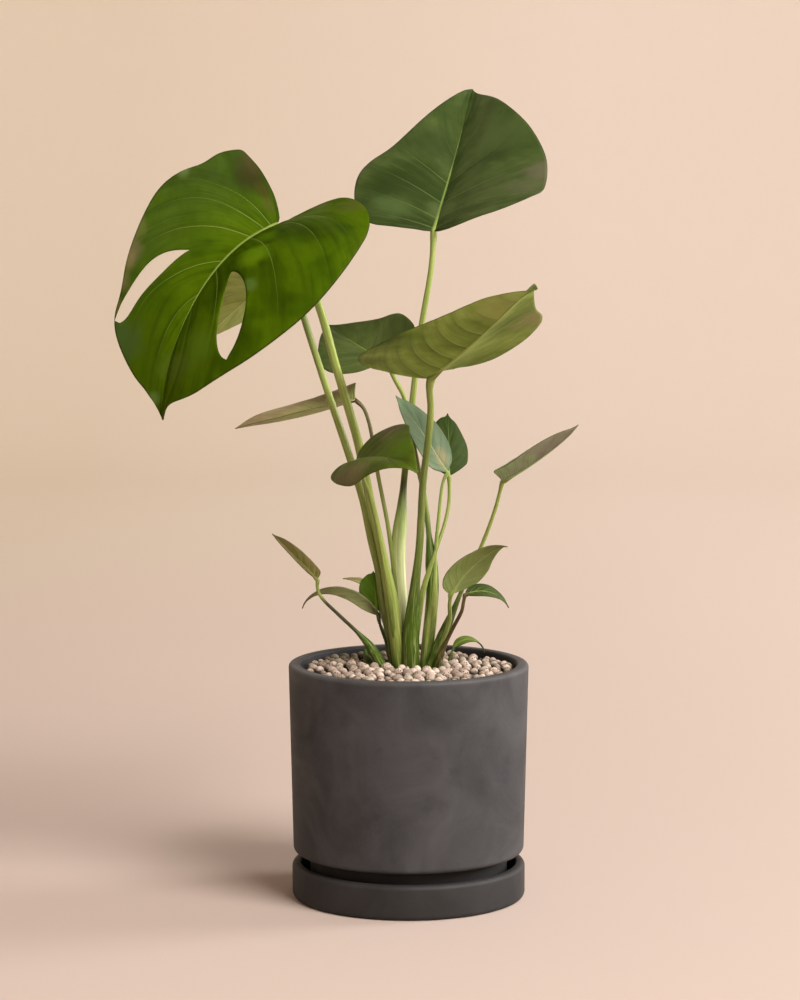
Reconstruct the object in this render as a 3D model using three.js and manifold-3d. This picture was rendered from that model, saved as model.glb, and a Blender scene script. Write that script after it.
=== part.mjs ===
// A potted monstera: several seedlings in a round concrete pot on a saucer, with gravel on the soil.
// Millimetres and degrees. +Z is up; the origin is under the middle of the saucer, on the surface
// that it stands on; the front of the plant faces -Y.

import * as THREE from 'three';
import { mergeVertices } from 'three/addons/utils/BufferGeometryUtils.js';
import Module from 'manifold-3d';

const wasm = await Module();
wasm.setup();

// ---------------------------------------------------------------- driving sizes

const clearance = 0.3;      // gap between pieces that rest on or pass through each other
const weldDistance = 1e-4;  // points nearer than this are one
const roundSides = 48;      // facets round the pot, saucer and soil
const cornerSteps = 3;      // facets round each corner of their profiles

const saucer = { radius: 97.5, height: 29, wall: 7.5, floor: 8, edge: 4, innerEdge: 1.5, fillet: 3 };
const pot = {
  rimRadius: 100,
  lowRadius: 96.5,          // the side tapers to this at its lower edge
  top: 196.5,
  sideBottom: 38,           // underside of the overhanging side
  wall: 10,
  rimEdge: 3,
  lowEdge: 4.5,
  innerEdge: 2,
  innerFillet: 6,
  footRadius: 82.5,         // recessed foot that stands in the saucer
  footBevel: 2,
  innerFloor: 50,
  drainRadius: 8,
};
const soilTop = 180;
const gravelTop = { middle: 194.5, side: 193.5 };
const grain = {
  count: 110,
  radius: 7.3,
  spread: 1.8,              // how much the radius varies
  low: 5,                   // how deep their middles lie under the gravel's top
  scatter: 1.6,             // how much that depth varies
  flat: 0.85,
  narrow: 0.8,
  turn: 6,                  // radians that a grain may be turned by
  inset: 0.5,
};
const gravelGap = 0.4;      // more room than the soil has beside the pot's wall
const gravelSides = 32;
const goldenTurn = Math.PI * (3 - Math.sqrt(5));


const bladeThickness = 0.9;
const ribStart = 0.25;      // share of the margin whose ribs fan out from the leaf's base
const ribPower = 1.6;       // how the other ribs' starts spread along the midrib
const ribSweep = 0.1;       // how far a rib bows towards the base
const spineBack = 0.35;     // the midrib curve also runs this far behind the base, for the lobes
const spineSteps = 60;
const sweepStart = 0.1;     // share of the margin where the ribs start to bow
const sweepRamp = 0.3;
const firstRib = 0.06;      // share of the margin left open at the sinus
const rippleShift = 0.37;   // turn between the waves of a leaf's two halves
const cutRoundness = 0.7;   // below 1, a cut is rounder than a sine
const droopStart = 0.7;     // share of the midrib where the tip starts to droop

// ---------------------------------------------------------------- leaves

// Pairs are [leaf's own left, right], seen from above with the tip ahead. 'at' is the leaf's base,
// 'heading' turns from +X towards +Y, 'pitch' lifts the midrib and 'roll' lifts the left half.
// lobes, widest and shoulder are shares of the length; fold lifts a half at the midrib, and curl is
// what it bends further by its margin. bend, droop and twist run from base to tip. A cut lies between
// two ribs, from and to shares of the way out; skew moves its widest place towards the margin. A bulge
// is [side, place along the margin, width, how far the margin stands out there].
const leafDefaults = {
  pitch: 0, roll: 0, lobes: [0.07, 0.07], widest: [0.26, 0.26], shoulder: [0.6, 0.6], young: false,
  fold: [10, 10], curl: [0, 0], bend: 0, droop: 0, backBend: 0, twist: 0, sway: 0,
  wave: 0, waves: 2.5, ribs: 9, steps: 4, cuts: [], bulges: [],
};

const leaves = [
  {
    name: 'leaf_large_cut', colour: 0x42600c, at: [-107, -60, 561], heading: 235, pitch: -9, roll: -11,
    length: 216, widths: [104, 79], lobes: [0.22, 0.11], widest: [0.26, 0.4], shoulder: [0.68, 0.71],
    fold: [36, 40], curl: [-70, 35], bend: 76, droop: 15, backBend: -25, twist: -18, sway: 0.06,
    wave: 1.5, ribs: 16, steps: 8,
    cuts: [
      { side: 1, ribs: [0.65, 0.735], from: 0.25, to: 0.875, halfWidth: 0.036, skew: 1 },
      { side: -1, ribs: [0.62, 0.722], from: 0.375, to: 1.02, halfWidth: 0.035, skew: 1.5 },
    ],
    bulges: [
      [-1, 0.335, 0.03, 3], [-1, 0.42, 0.025, -4], [-1, 0.485, 0.035, 3], [-1, 0.725, 0.04, 8],
      [-1, 0.83, 0.04, -4], [1, 0.91, 0.05, -3],
    ],
  },
  {
    name: 'leaf_top_back', colour: 0x3e522a, at: [21, 50, 554], heading: 78, pitch: 30, roll: -1,
    length: 212, widths: [78, 97], widest: [0.23, 0.15], shoulder: [0.5, 0.61],
    fold: [35, 37], curl: [-50, -43], bend: -10, droop: 7, backBend: -12, twist: 9,
    wave: 1.5, ribs: 13, steps: 6,
  },
  {
    name: 'leaf_behind_large', colour: 0x8a8a52, at: [-99, 2, 525], heading: 154, pitch: -33, roll: 23,
    length: 106, widths: [45, 45], lobes: [0.12, 0.12], fold: [12, 13], curl: [-4, -4], bend: 10,
    ribs: 10,
  },
  {
    name: 'leaf_middle', colour: 0x737837, at: [18, -20, 436], heading: -63, pitch: 22, roll: 11,
    length: 189, widths: [79, 79], widest: [0.29, 0.27], shoulder: [0.53, 0.53],
    fold: [18, 35], curl: [-37, -26], bend: -10, droop: 20, backBend: -9, twist: 13, sway: 0.03,
    wave: 1.2, ribs: 13, steps: 6,
  },
  {
    name: 'leaf_behind_middle', colour: 0x3c482d, at: [-17, 30, 445], heading: 119, pitch: 10, roll: -10,
    length: 110, widths: [46, 45], lobes: [0.07, -0.04], widest: [0.23, 0.35], fold: [12, 17],
    curl: [-35, 31], bend: -7, ribs: 10, steps: 5,
  },
  {
    name: 'leaf_pale_centre', colour: 0x87966e, at: [32, 20, 354], heading: 190, pitch: 60, roll: -55,
    length: 77, widths: [26, 26], lobes: [-0.08, -0.02], widest: [0.36, 0.36], shoulder: [0.63, 0.63],
    young: true, fold: [11, 3], curl: [27, -37], bend: 16, sway: -0.03,
  },
  {
    name: 'leaf_dark_centre', colour: 0x41552d, at: [34, 34, 349], heading: 88, pitch: 65, roll: 30,
    length: 60, widths: [23, 23], lobes: [0, -0.16], widest: [0.45, 0.47], shoulder: [0.72, 0.72],
    young: true, fold: [10, -8], curl: [-11, -16], bend: 16, sway: -0.04,
  },
  {
    name: 'leaf_front_folded', colour: 0x4d4f20, at: [-42, -48, 371], heading: -60, pitch: 13, roll: 36,
    length: 92, widths: [39, 38], lobes: [0.08, 0.08], widest: [0.33, 0.33], fold: [15, 33],
    curl: [-19, -70], bend: 18, droop: 60, backBend: -5, sway: -0.1, ribs: 11, steps: 5,
  },
  {
    name: 'leaf_left_long', colour: 0x73694b, at: [-45, 42, 413], heading: 169, pitch: -21, roll: -34,
    length: 108, widths: [32, 36], lobes: [0, 0.01], widest: [0.25, 0.25], fold: [31, 22],
    curl: [16, -70], bend: -10, droop: 9, twist: 11, sway: -0.1,
  },
  {
    name: 'leaf_right_folded', colour: 0x695f4b, at: [78, 0, 348], heading: -43, pitch: 26, roll: -4,
    length: 100, widths: [32, 32], lobes: [-0.03, -0.02], widest: [0.38, 0.38], shoulder: [0.64, 0.64],
    young: true, fold: [32, 38], curl: [-23, -68], bend: -10, droop: -10, twist: 11, sway: -0.05,
  },
  {
    name: 'leaf_low_right', colour: 0x788241, at: [35, -15, 256], heading: -13, pitch: 60, roll: -22,
    length: 68, widths: [23, 23], lobes: [-0.02, 0.02], widest: [0.34, 0.34], shoulder: [0.62, 0.62],
    young: true, fold: [8, 23], curl: [-34, -28], bend: 36, droop: 30,
  },
  {
    name: 'leaf_low_right_arched', colour: 0x4b643c, at: [47, -24, 257], heading: 1, pitch: 25, roll: 17,
    length: 43, widths: [11, 11], lobes: [0.02, -0.03], widest: [0.35, 0.35], shoulder: [0.64, 0.64],
    young: true, fold: [14, 4], curl: [-4, -3], bend: 90, ribs: 7, steps: 3,
  },
  {
    name: 'leaf_gravel_arched', colour: 0x5a7332, at: [38, 40, 201], heading: 22, pitch: 58, roll: 3,
    length: 38, widths: [6, 6], lobes: [-0.03, -0.03], widest: [0.35, 0.35], shoulder: [0.64, 0.64],
    young: true, fold: [18, 0], curl: [8, -20], bend: 135, ribs: 8, steps: 2,
  },
  {
    name: 'leaf_low_left', colour: 0x69693c, at: [-76, 0, 266], heading: 136, pitch: 34, roll: -3,
    length: 64, widths: [14, 14], lobes: [-0.03, -0.03], widest: [0.33, 0.33], shoulder: [0.65, 0.65],
    young: true, fold: [27, 27], curl: [5, -66], bend: 4, ribs: 8, steps: 3,
  },
  {
    name: 'leaf_left_arched', colour: 0x646a40, at: [-25, 20, 234], heading: 188, pitch: 63, roll: -29,
    length: 86, widths: [12, 11], lobes: [0.02, -0.03], widest: [0.25, 0.25], young: true,
    fold: [-15, -15], curl: [-17, -56], bend: 128, droop: 9, ribs: 10, steps: 3,
  },
  {
    name: 'leaf_round_small', colour: 0x4b641e, at: [-27, 34, 235], heading: 100, pitch: 72, roll: 0,
    length: 36, widths: [15, 12], lobes: [0.02, 0.02], widest: [0.45, 0.45], shoulder: [0.76, 0.76],
    young: true, fold: [6, 10], curl: [20, 10], bend: 20, ribs: 7, steps: 3,
  },
  {
    name: 'leaf_tiny_left', colour: 0x6e7355, at: [-33, 48, 253], heading: 172, pitch: 34, roll: -20,
    length: 25, widths: [5, 5], lobes: [-0.03, -0.03], widest: [0.35, 0.35], young: true,
    fold: [15, 15], bend: 40, ribs: 6, steps: 2,
  },
];

// ---------------------------------------------------------------- stalks

// Each stalk is a tube from its crown to a leaf's base. 'path' runs upwards. 'neck' is its radius at
// the leaf and 'foot' the radius of the sheath at its lower end; 'sheath' gives the shares of its
// length where the sheath starts and stops narrowing.
const mainStalks = [
  {
    leaf: 'leaf_large_cut', foot: 5.8, neck: 3.1, sheath: [0.12, 0.27], sides: 8, steps: 15,
    path: [[-7, 10, 187], [-10, 8, 215], [-13, 5, 240], [-19, -1, 274], [-32, -14, 335], [-41, -25, 381],
      [-59, -39, 446], [-73, -49, 497], [-92, -56, 540]],
  },
  {
    leaf: 'leaf_behind_large', foot: 4.2, neck: 2.7, sheath: [0.1, 0.25], sides: 8, steps: 14,
    path: [[-10, 12, 187], [-15, 12, 215], [-21, 8, 243], [-25, 2, 274], [-31, -2, 300], [-38, -5, 334],
      [-49, -6, 370], [-65, -5, 418], [-86, -1, 483]],
  },
  {
    leaf: 'leaf_front_folded', foot: 2.6, neck: 1.6, sheath: [0.2, 0.4], sides: 6, steps: 9,
    path: [[-10, 7, 205], [-17, -3, 258], [-29, -24, 328], [-38, -40, 358]],
  },
  {
    leaf: 'leaf_left_long', foot: 3, neck: 1.5, sheath: [0.1, 0.3], sides: 6, steps: 12,
    path: [[-7, 13, 190], [-11, 17, 256], [-17, 25, 306], [-26, 33, 352], [-33, 38, 393], [-38, 41, 406]],
  },
  {
    leaf: 'leaf_top_back', foot: 6.3, neck: 2.3, sheath: [0.3, 0.43], sides: 9, steps: 16,
    path: [[-4, 15, 187], [-7, 20, 238], [-9, 27, 288], [-6, 32, 321], [-3, 36, 354], [3, 38, 410],
      [10, 39, 470], [19, 44, 524]],
  },
  {
    leaf: 'leaf_middle', foot: 7.3, neck: 2.7, sheath: [0.06, 0.4], sides: 9, steps: 14,
    path: [[2, 6, 187], [2, 4, 219], [5, -1, 258], [9, -6, 296], [12, -12, 351], [16, -16, 384],
      [18, -18, 411], [17, -20, 428]],
  },
  {
    leaf: 'leaf_behind_middle', foot: 5.3, neck: 1.9, sheath: [0.33, 0.45], sides: 7, steps: 13,
    path: [[14, 13, 187], [16, 14, 209], [20, 16, 255], [19, 17, 279], [13, 25, 334], [6, 27, 366],
      [-3, 29, 414], [-12, 30, 432]],
  },
  {
    leaf: 'leaf_pale_centre', foot: 3.6, neck: 1.4, sheath: [0.3, 0.6], sides: 6, steps: 9,
    path: [[15, 12, 190], [20, 14, 230], [22, 15, 281], [25, 18, 314], [29, 20, 346]],
  },
  {
    leaf: 'leaf_dark_centre', foot: 2.6, neck: 1.4, sheath: [0.3, 0.6], sides: 6, steps: 12,
    path: [[4, 10, 197], [9, 8, 238], [12, 8, 256], [20, 13, 281], [31, 25, 313], [34, 31, 329]],
  },
  {
    leaf: 'leaf_right_folded', foot: 4.8, neck: 1.5, sheath: [0.16, 0.42], sides: 7, steps: 12,
    path: [[17, 8, 187], [25, 8, 209], [37, 8, 238], [48, 7, 265], [61, 3, 295], [72, 0, 326]],
  },
  {
    leaf: 'leaf_low_right', foot: 2.6, neck: 1.6, sheath: [0.1, 0.5], sides: 6, steps: 7,
    path: [[20, 8, 190], [27, 5, 210], [34, -4, 233], [34, -11, 246]],
  },
  {
    leaf: 'leaf_low_right_arched', foot: 3.2, neck: 1.4, sheath: [0.15, 0.45], sides: 6, steps: 8,
    path: [[22, 5, 187], [28, -2, 207], [36, -12, 226], [44, -22, 244], [45, -23, 250]],
  },
  {
    leaf: 'leaf_left_arched', foot: 2, neck: 1.1, sheath: [0.2, 0.5], sides: 6, steps: 5,
    path: [[-14, 15, 190], [-19, 17, 211], [-24, 19, 226]],
  },
  {
    leaf: 'leaf_round_small', foot: 2, neck: 1.1, sheath: [0.2, 0.5], sides: 6, steps: 5,
    path: [[-13, 18, 190], [-18, 27, 212], [-25, 32, 226]],
  },
  {
    leaf: 'leaf_tiny_left', foot: 1.6, neck: 0.9, sheath: [0.2, 0.5], sides: 5, steps: 6,
    path: [[-12, 19, 190], [-18, 34, 215], [-29, 45, 246]],
  },
];

// The left seedling also has two short shoots without a leaf.
const leftStalks = [
  {
    leaf: 'leaf_low_left', foot: 4.2, neck: 1.3, sheath: [0.18, 0.45], sides: 7, steps: 12,
    path: [[-20, 12, 187], [-32, 10, 208], [-43, 7, 221], [-58, 3, 236], [-73, 0, 252], [-76, 0, 260]],
  },
  { foot: 2.4, neck: 0.8, sheath: [0.3, 0.9], sides: 6, steps: 4, path: [[-22, 16, 190], [-33, 20, 211]] },
  {
    foot: 4, neck: 1.4, sheath: [0.5, 1], sides: 6, steps: 4,
    path: [[-25, 15, 184], [-33, 20, 192], [-37, 25, 203]],
  },
];

const backStalks = [
  { leaf: 'leaf_gravel_arched', foot: 1.8, neck: 1.1, sheath: [0.2, 0.6], sides: 6, steps: 4,
    path: [[32, 36, 184], [36, 38, 197]] },
];

// A crown is the short stem that the stalks grow from: it narrows downwards and stands in the soil.
const mainCrowns = [
  { at: [-8, 12], radius: 7.5, depth: 60 },
  { at: [1, 8], radius: 8, depth: 70 },
  { at: [14, 11], radius: 7, depth: 60 },
];
const leftCrowns = [{ at: [-24, 14], radius: 4.5, depth: 40 }];
const backCrowns = [{ at: [32, 36], radius: 2.6, depth: 30 }];
const stalkTaper = 1.35;    // a plain stalk's radius at its foot as a share of the one at its neck
const crownTop = 191;       // hidden among the gravel
const crownNeck = 0.55;     // a crown's foot radius as a share of its top radius
const crownFoot = 0.6;      // the flat under its foot as a share of the foot
const crownCap = 0.7;       // the flat on its top as a share of its top radius
const crownBevel = { foot: 4, cap: 3, shoulder: 2 };
const crownSides = 12;
const neckDrop = 6;         // a stalk comes up to a blade from this far below it

// ---------------------------------------------------------------- solids

function solidOf(geometry) {
  const bare = geometry.clone();
  bare.deleteAttribute('normal');
  bare.deleteAttribute('uv');
  const merged = mergeVertices(bare, weldDistance);
  return new wasm.Manifold(new wasm.Mesh({
    numProp: 3,
    vertProperties: new Float32Array(merged.attributes.position.array),
    triVerts: new Uint32Array(merged.index.array),
  }));
}

function geometryOf(solid) {
  const mesh = solid.getMesh();
  const geometry = new THREE.BufferGeometry();
  geometry.setAttribute('position', new THREE.BufferAttribute(new Float32Array(mesh.vertProperties), 3));
  geometry.setIndex(new THREE.BufferAttribute(new Uint32Array(mesh.triVerts), 1));
  geometry.computeVertexNormals();
  return geometry;
}

function union(solids) {
  return solids.reduce((sum, solid) => sum.add(solid));
}

// The largest body of a solid that a cut has left with loose scraps.
function mainBody(solid) {
  const parts = solid.decompose();
  return parts.reduce((best, part) => (part.volume() > best.volume() ? part : best));
}

function mix(a, b, share) {
  return a + (b - a) * share;
}

// Small repeatable random numbers from 0 to 1, by a linear congruence.
const randomFactor = 1664525;
const randomShift = 1013904223;
const randomRange = 2 ** 32;

function randomFrom(seed) {
  let state = seed;
  return () => {
    state = (state * randomFactor + randomShift) % randomRange;
    return state / randomRange;
  };
}

// ---------------------------------------------------------------- pot, saucer, soil

// A quarter-round corner as profile points, from one angle to another round its centre.
function corner(radius, height, edge, fromAngle, toAngle) {
  const points = [];
  for (let i = 0; i <= cornerSteps; i += 1) {
    const angle = THREE.MathUtils.degToRad(mix(fromAngle, toAngle, i / cornerSteps));
    points.push([radius + edge * Math.cos(angle), height + edge * Math.sin(angle)]);
  }
  return points;
}

// Turns a profile of [radius, height] points about +Z. It runs up the outside of the piece.
function turned(profile, sides = roundSides) {
  const points = profile.map(([radius, height]) => new THREE.Vector2(radius, height));
  const geometry = new THREE.LatheGeometry(points, sides);
  geometry.rotateX(Math.PI / 2);
  return geometry;
}

function saucerGeometry() {
  const { radius, height, wall, floor, edge, innerEdge, fillet } = saucer;
  const inner = radius - wall;
  return turned([
    [0, 0],
    ...corner(radius - edge, edge, edge, -90, 0),
    ...corner(radius - edge, height - edge, edge, 0, 90),
    ...corner(inner + innerEdge, height - innerEdge, innerEdge, 90, 180),
    [inner, floor + fillet],
    [inner - fillet, floor],
    [0, floor],
  ]);
}

function potGeometry() {
  const { rimRadius, lowRadius, top, sideBottom, wall, rimEdge, lowEdge, innerEdge, innerFillet,
    footRadius, footBevel, innerFloor, drainRadius } = pot;
  const footBottom = saucer.floor + clearance;
  const innerTop = rimRadius - wall;
  const innerLow = lowRadius - wall;
  return turned([
    [drainRadius, footBottom],
    [footRadius - footBevel, footBottom],
    [footRadius, footBottom + footBevel],
    [footRadius, sideBottom],
    ...corner(lowRadius - lowEdge, sideBottom + lowEdge, lowEdge, -90, 0),
    ...corner(rimRadius - rimEdge, top - rimEdge, rimEdge, 0, 90),
    ...corner(innerTop + innerEdge, top - innerEdge, innerEdge, 90, 180),
    [innerLow, innerFloor + innerFillet],
    [innerLow - innerFillet, innerFloor],
    [drainRadius, innerFloor],
    [drainRadius, footBottom],
  ]);
}

function soilSolid() {
  const innerTop = pot.rimRadius - pot.wall;
  const innerLow = pot.lowRadius - pot.wall;
  const share = (soilTop - pot.innerFloor) / (pot.top - pot.innerFloor);
  const topRadius = mix(innerLow, innerTop, share) - 2 * clearance;
  const bottom = pot.innerFloor + clearance;
  const bevel = pot.innerFillet + 1;
  return solidOf(turned([
    [0, bottom],
    [innerLow - bevel - clearance, bottom],
    [innerLow - 2 * clearance, bottom + bevel],
    [topRadius, soilTop],
    [0, soilTop],
  ]));
}

// ---------------------------------------------------------------- leaf surface

// One half's margin, flat, through points given as shares of the leaf's length and the half's width.
function halfOutline(leaf, side) {
  const k = side > 0 ? 0 : 1;
  const length = leaf.length;
  const width = leaf.widths[k];
  const lobe = leaf.lobes[k];
  const wide = leaf.widest[k];
  const shoulder = leaf.shoulder[k];
  const basePart = leaf.young
    ? [[0, 0], [0.02 - 0.5 * lobe, 0.24], [0.06 - 0.6 * lobe, 0.52],
      [0.02 + 0.35 * wide - 0.3 * lobe, 0.78], [0.66 * wide, 0.94]]
    : [[0, 0], [-0.55 * lobe, 0.1], [-lobe, 0.38], [-0.72 * lobe, 0.7],
      [0.4 * wide - 0.25 * lobe, 0.92]];
  const tipPart = [[wide, 1], [0.5 * (wide + shoulder), 0.93], [shoulder, 0.7],
    [0.51 + 0.5 * shoulder, 0.37], [0.93, 0.12], [1, 0]];
  const points = [...basePart, ...tipPart].map(([x, y]) => new THREE.Vector3(x * length, y * width, 0));
  return new THREE.CatmullRomCurve3(points, false, 'catmullrom', 0.5);
}

// The midrib as a curve in its own upright plane, sampled behind and ahead of the base.
function spineOf(leaf) {
  const bend = THREE.MathUtils.degToRad(leaf.bend);
  const droop = THREE.MathUtils.degToRad(leaf.droop);
  const back = THREE.MathUtils.degToRad(leaf.backBend);
  const angleAt = (share) => {
    const late = Math.max(0, (share - droopStart) / (1 - droopStart));
    return share > 0 ? -bend * share - droop * late * late : (back * -share) / spineBack;
  };
  const step = (1 + spineBack) / spineSteps;
  const points = [];
  let x = 0;
  let z = 0;
  for (let i = 0; i <= spineSteps; i += 1) {
    const share = -spineBack + i * step;
    points.push({ x, z, angle: angleAt(share) });
    const middle = 0.5 * (angleAt(share) + angleAt(share + step));
    x += Math.cos(middle) * step * leaf.length;
    z += Math.sin(middle) * step * leaf.length;
  }
  const sample = (share) => {
    const place = THREE.MathUtils.clamp((share + spineBack) / step, 0, spineSteps - 1e-6);
    const i = Math.floor(place);
    const part = place - i;
    const a = points[i];
    const b = points[i + 1];
    return { x: mix(a.x, b.x, part), z: mix(a.z, b.z, part), angle: mix(a.angle, b.angle, part) };
  };
  const base = sample(0);
  return (share) => {
    const at = sample(share);
    return { x: at.x - base.x, z: at.z - base.z, angle: at.angle };
  };
}

// A leaf's surface: 'rib' runs along the margin from sinus (0) to tip (1), and 'out' from the
// midrib (0) to the margin (1). The flat leaf is bent along its midrib and curled across it.
function surfaceOf(leaf) {
  const outlines = { 1: halfOutline(leaf, 1), [-1]: halfOutline(leaf, -1) };
  const spine = spineOf(leaf);
  const turn = new THREE.Matrix4()
    .makeRotationZ(THREE.MathUtils.degToRad(leaf.heading))
    .multiply(new THREE.Matrix4().makeRotationY(THREE.MathUtils.degToRad(-leaf.pitch)))
    .multiply(new THREE.Matrix4().makeRotationX(THREE.MathUtils.degToRad(leaf.roll)));
  const at = new THREE.Vector3(...leaf.at);

  const marginAt = (side, rib) => {
    const margin = outlines[side].getPoint(rib);
    for (const [bulgeSide, place, width, reach] of leaf.bulges) {
      if (bulgeSide === side) {
        margin.y += reach * Math.exp(-(((rib - place) / width) ** 2));
      }
    }
    return margin;
  };

  const flatPoint = (side, rib, out) => {
    const margin = marginAt(side, rib);
    const start = leaf.length * Math.max(0, (rib - ribStart) / (1 - ribStart)) ** ribPower;
    const dx = margin.x - start;
    const reach = Math.hypot(dx, margin.y);
    const sweep = ribSweep * THREE.MathUtils.clamp((rib - sweepStart) / sweepRamp, 0, 1) * reach;
    const bow = 2 * out * (1 - out);
    return {
      x: start * (1 - out) ** 2 + bow * (start + dx / 2 - sweep) + margin.x * out * out,
      y: bow * (margin.y / 2) + margin.y * out * out,
    };
  };

  return (side, rib, out) => {
    const k = side > 0 ? 0 : 1;
    const flat = flatPoint(side, rib, out);
    const share = flat.x / leaf.length;
    const fold = THREE.MathUtils.degToRad(leaf.fold[k]);
    const curl = (THREE.MathUtils.degToRad(leaf.curl[k]) || 1e-6) / leaf.widths[k];
    const across = (side * (Math.sin(fold + curl * flat.y) - Math.sin(fold))) / curl;
    const phase = side > 0 ? 0 : rippleShift;
    const ripple = leaf.wave * Math.sin(2 * Math.PI * (leaf.waves * rib + phase)) * out * out;
    const raised = (Math.cos(fold) - Math.cos(fold + curl * flat.y)) / curl + ripple;
    const twist = THREE.MathUtils.degToRad(leaf.twist) * share;
    const sway = leaf.sway * leaf.length * share * Math.abs(share);
    const y = across * Math.cos(twist) - raised * Math.sin(twist) + sway;
    const z = across * Math.sin(twist) + raised * Math.cos(twist);
    const centre = spine(share);
    return new THREE.Vector3(
      centre.x - Math.sin(centre.angle) * z,
      y,
      centre.z + Math.cos(centre.angle) * z,
    ).applyMatrix4(turn).add(at);
  };
}

// How far a cut between two ribs stands open on each side of its middle, at a share from the midrib.
function cutHalfWidth(cut, out) {
  const along = (out - cut.from) / (cut.to - cut.from);
  const open = along > 0 && along < 1;
  return open ? cut.halfWidth * Math.sin(Math.PI * along ** cut.skew) ** cutRoundness : 0;
}

// Rib lines across one half: each gives the rib value at a share from the midrib. A cut parts the
// rib line nearest to it in two, and the others make room for it.
function ribLines(leaf, side) {
  const cut = leaf.cuts.find((one) => one.side === side);
  const plain = [];
  for (let i = 0; i <= leaf.ribs; i += 1) {
    plain.push(mix(firstRib, 1, i / leaf.ribs));
  }
  if (!cut) {
    return plain.map((rib) => ({ at: () => rib }));
  }
  const parted = plain.reduce((best, rib) => (
    Math.abs(rib - cut.ribs[0]) < Math.abs(best - cut.ribs[0]) ? rib : best));
  const middleAt = (out) => {
    const along = THREE.MathUtils.clamp((out - cut.from) / (cut.to - cut.from), 0, 1);
    const near = THREE.MathUtils.clamp(out / cut.from, 0, 1);
    return mix(parted, mix(cut.ribs[0], cut.ribs[1], along), near);
  };
  const lineFor = (rib, sign) => ({
    at: (out) => {
      const moved = middleAt(out) + sign * cutHalfWidth(cut, out);
      return sign < 0 ? (rib * moved) / parted : 1 - ((1 - rib) * (1 - moved)) / (1 - parted);
    },
    edge: sign < 0 && rib === parted,
  });
  return [
    ...plain.filter((rib) => rib <= parted).map((rib) => lineFor(rib, -1)),
    ...plain.filter((rib) => rib >= parted).map((rib) => lineFor(rib, 1)),
  ];
}

// The leaf's middle surface as points and triangles whose upper side faces up.
function midSurface(leaf) {
  const surface = surfaceOf(leaf);
  const points = [];
  const triangles = [];
  const known = new Map();
  const pointIndex = (point) => {
    const key = [point.x, point.y, point.z].map((v) => Math.round(v * 1000)).join(' ');
    if (!known.has(key)) {
      known.set(key, points.length);
      points.push(point);
    }
    return known.get(key);
  };
  const addTriangle = (a, b, c, side) => {
    if (a !== b && b !== c && a !== c) {
      triangles.push(side > 0 ? [a, b, c] : [a, c, b]);
    }
  };
  for (const side of [1, -1]) {
    const lines = ribLines(leaf, side);
    const grid = lines.map((line) => {
      const row = [];
      for (let j = 0; j <= leaf.steps; j += 1) {
        const out = j / leaf.steps;
        row.push(pointIndex(surface(side, line.at(out), out)));
      }
      return row;
    });
    for (let i = 0; i + 1 < grid.length; i += 1) {
      if (lines[i].edge) {
        continue;
      }
      for (let j = 0; j < leaf.steps; j += 1) {
        addTriangle(grid[i][j], grid[i + 1][j], grid[i + 1][j + 1], side);
        addTriangle(grid[i][j], grid[i + 1][j + 1], grid[i][j + 1], side);
      }
    }
  }
  return { points, triangles };
}

// Gives a surface its thickness: both faces have the same triangles, and walls close its edges.
function thickened({ points, triangles }, thickness) {
  const normals = points.map(() => new THREE.Vector3());
  const edges = new Map();
  for (const [a, b, c] of triangles) {
    const across = points[b].clone().sub(points[a]).cross(points[c].clone().sub(points[a]));
    for (const i of [a, b, c]) {
      normals[i].add(across);
    }
    for (const [from, to] of [[a, b], [b, c], [c, a]]) {
      const back = `${to} ${from}`;
      if (edges.has(back)) {
        edges.delete(back);
      } else {
        edges.set(`${from} ${to}`, [from, to]);
      }
    }
  }
  const half = thickness / 2;
  const upper = points.map((point, i) => point.clone().addScaledVector(normals[i].normalize(), half));
  const lower = points.map((point, i) => point.clone().addScaledVector(normals[i], -half));
  const count = points.length;
  const index = [];
  for (const [a, b, c] of triangles) {
    index.push(a, b, c, a + count, c + count, b + count);
  }
  for (const [from, to] of edges.values()) {
    index.push(to, from, from + count, to, from + count, to + count);
  }
  const geometry = new THREE.BufferGeometry().setFromPoints([...upper, ...lower]);
  geometry.setIndex(index);
  geometry.computeVertexNormals();
  return geometry;
}

// ---------------------------------------------------------------- stalks and crowns

function stalkRadius(stalk, share) {
  const [full, end] = stalk.sheath;
  const widened = 1 - THREE.MathUtils.smoothstep(share, full, end);
  const plain = stalk.neck * mix(stalkTaper, 1, share);
  return plain + (stalk.foot - plain) * widened;
}

// Where a stalk meets its leaf: just below the blade, or behind it where the leaf stands in line.
function stalkEnd(leaf) {
  const surface = surfaceOf(leaf);
  const base = surface(1, 0.5, 0);
  const origin = new THREE.Vector3(...leaf.at);
  const ahead = base.clone().sub(origin);
  if (ahead.lengthSq() < 1e-6) {
    ahead.copy(surface(1, 0.6, 0)).sub(origin);
  }
  ahead.normalize();
  const left = surface(1, 0.4, 0.3).sub(surface(-1, 0.4, 0.3)).normalize();
  const up = ahead.clone().cross(left).normalize();
  const gap = bladeThickness / 2 + clearance;
  return leaf.young
    ? [origin.clone().addScaledVector(ahead, -gap)]
    : [origin.clone().addScaledVector(up, -neckDrop), origin.clone().addScaledVector(up, -gap)];
}

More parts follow.
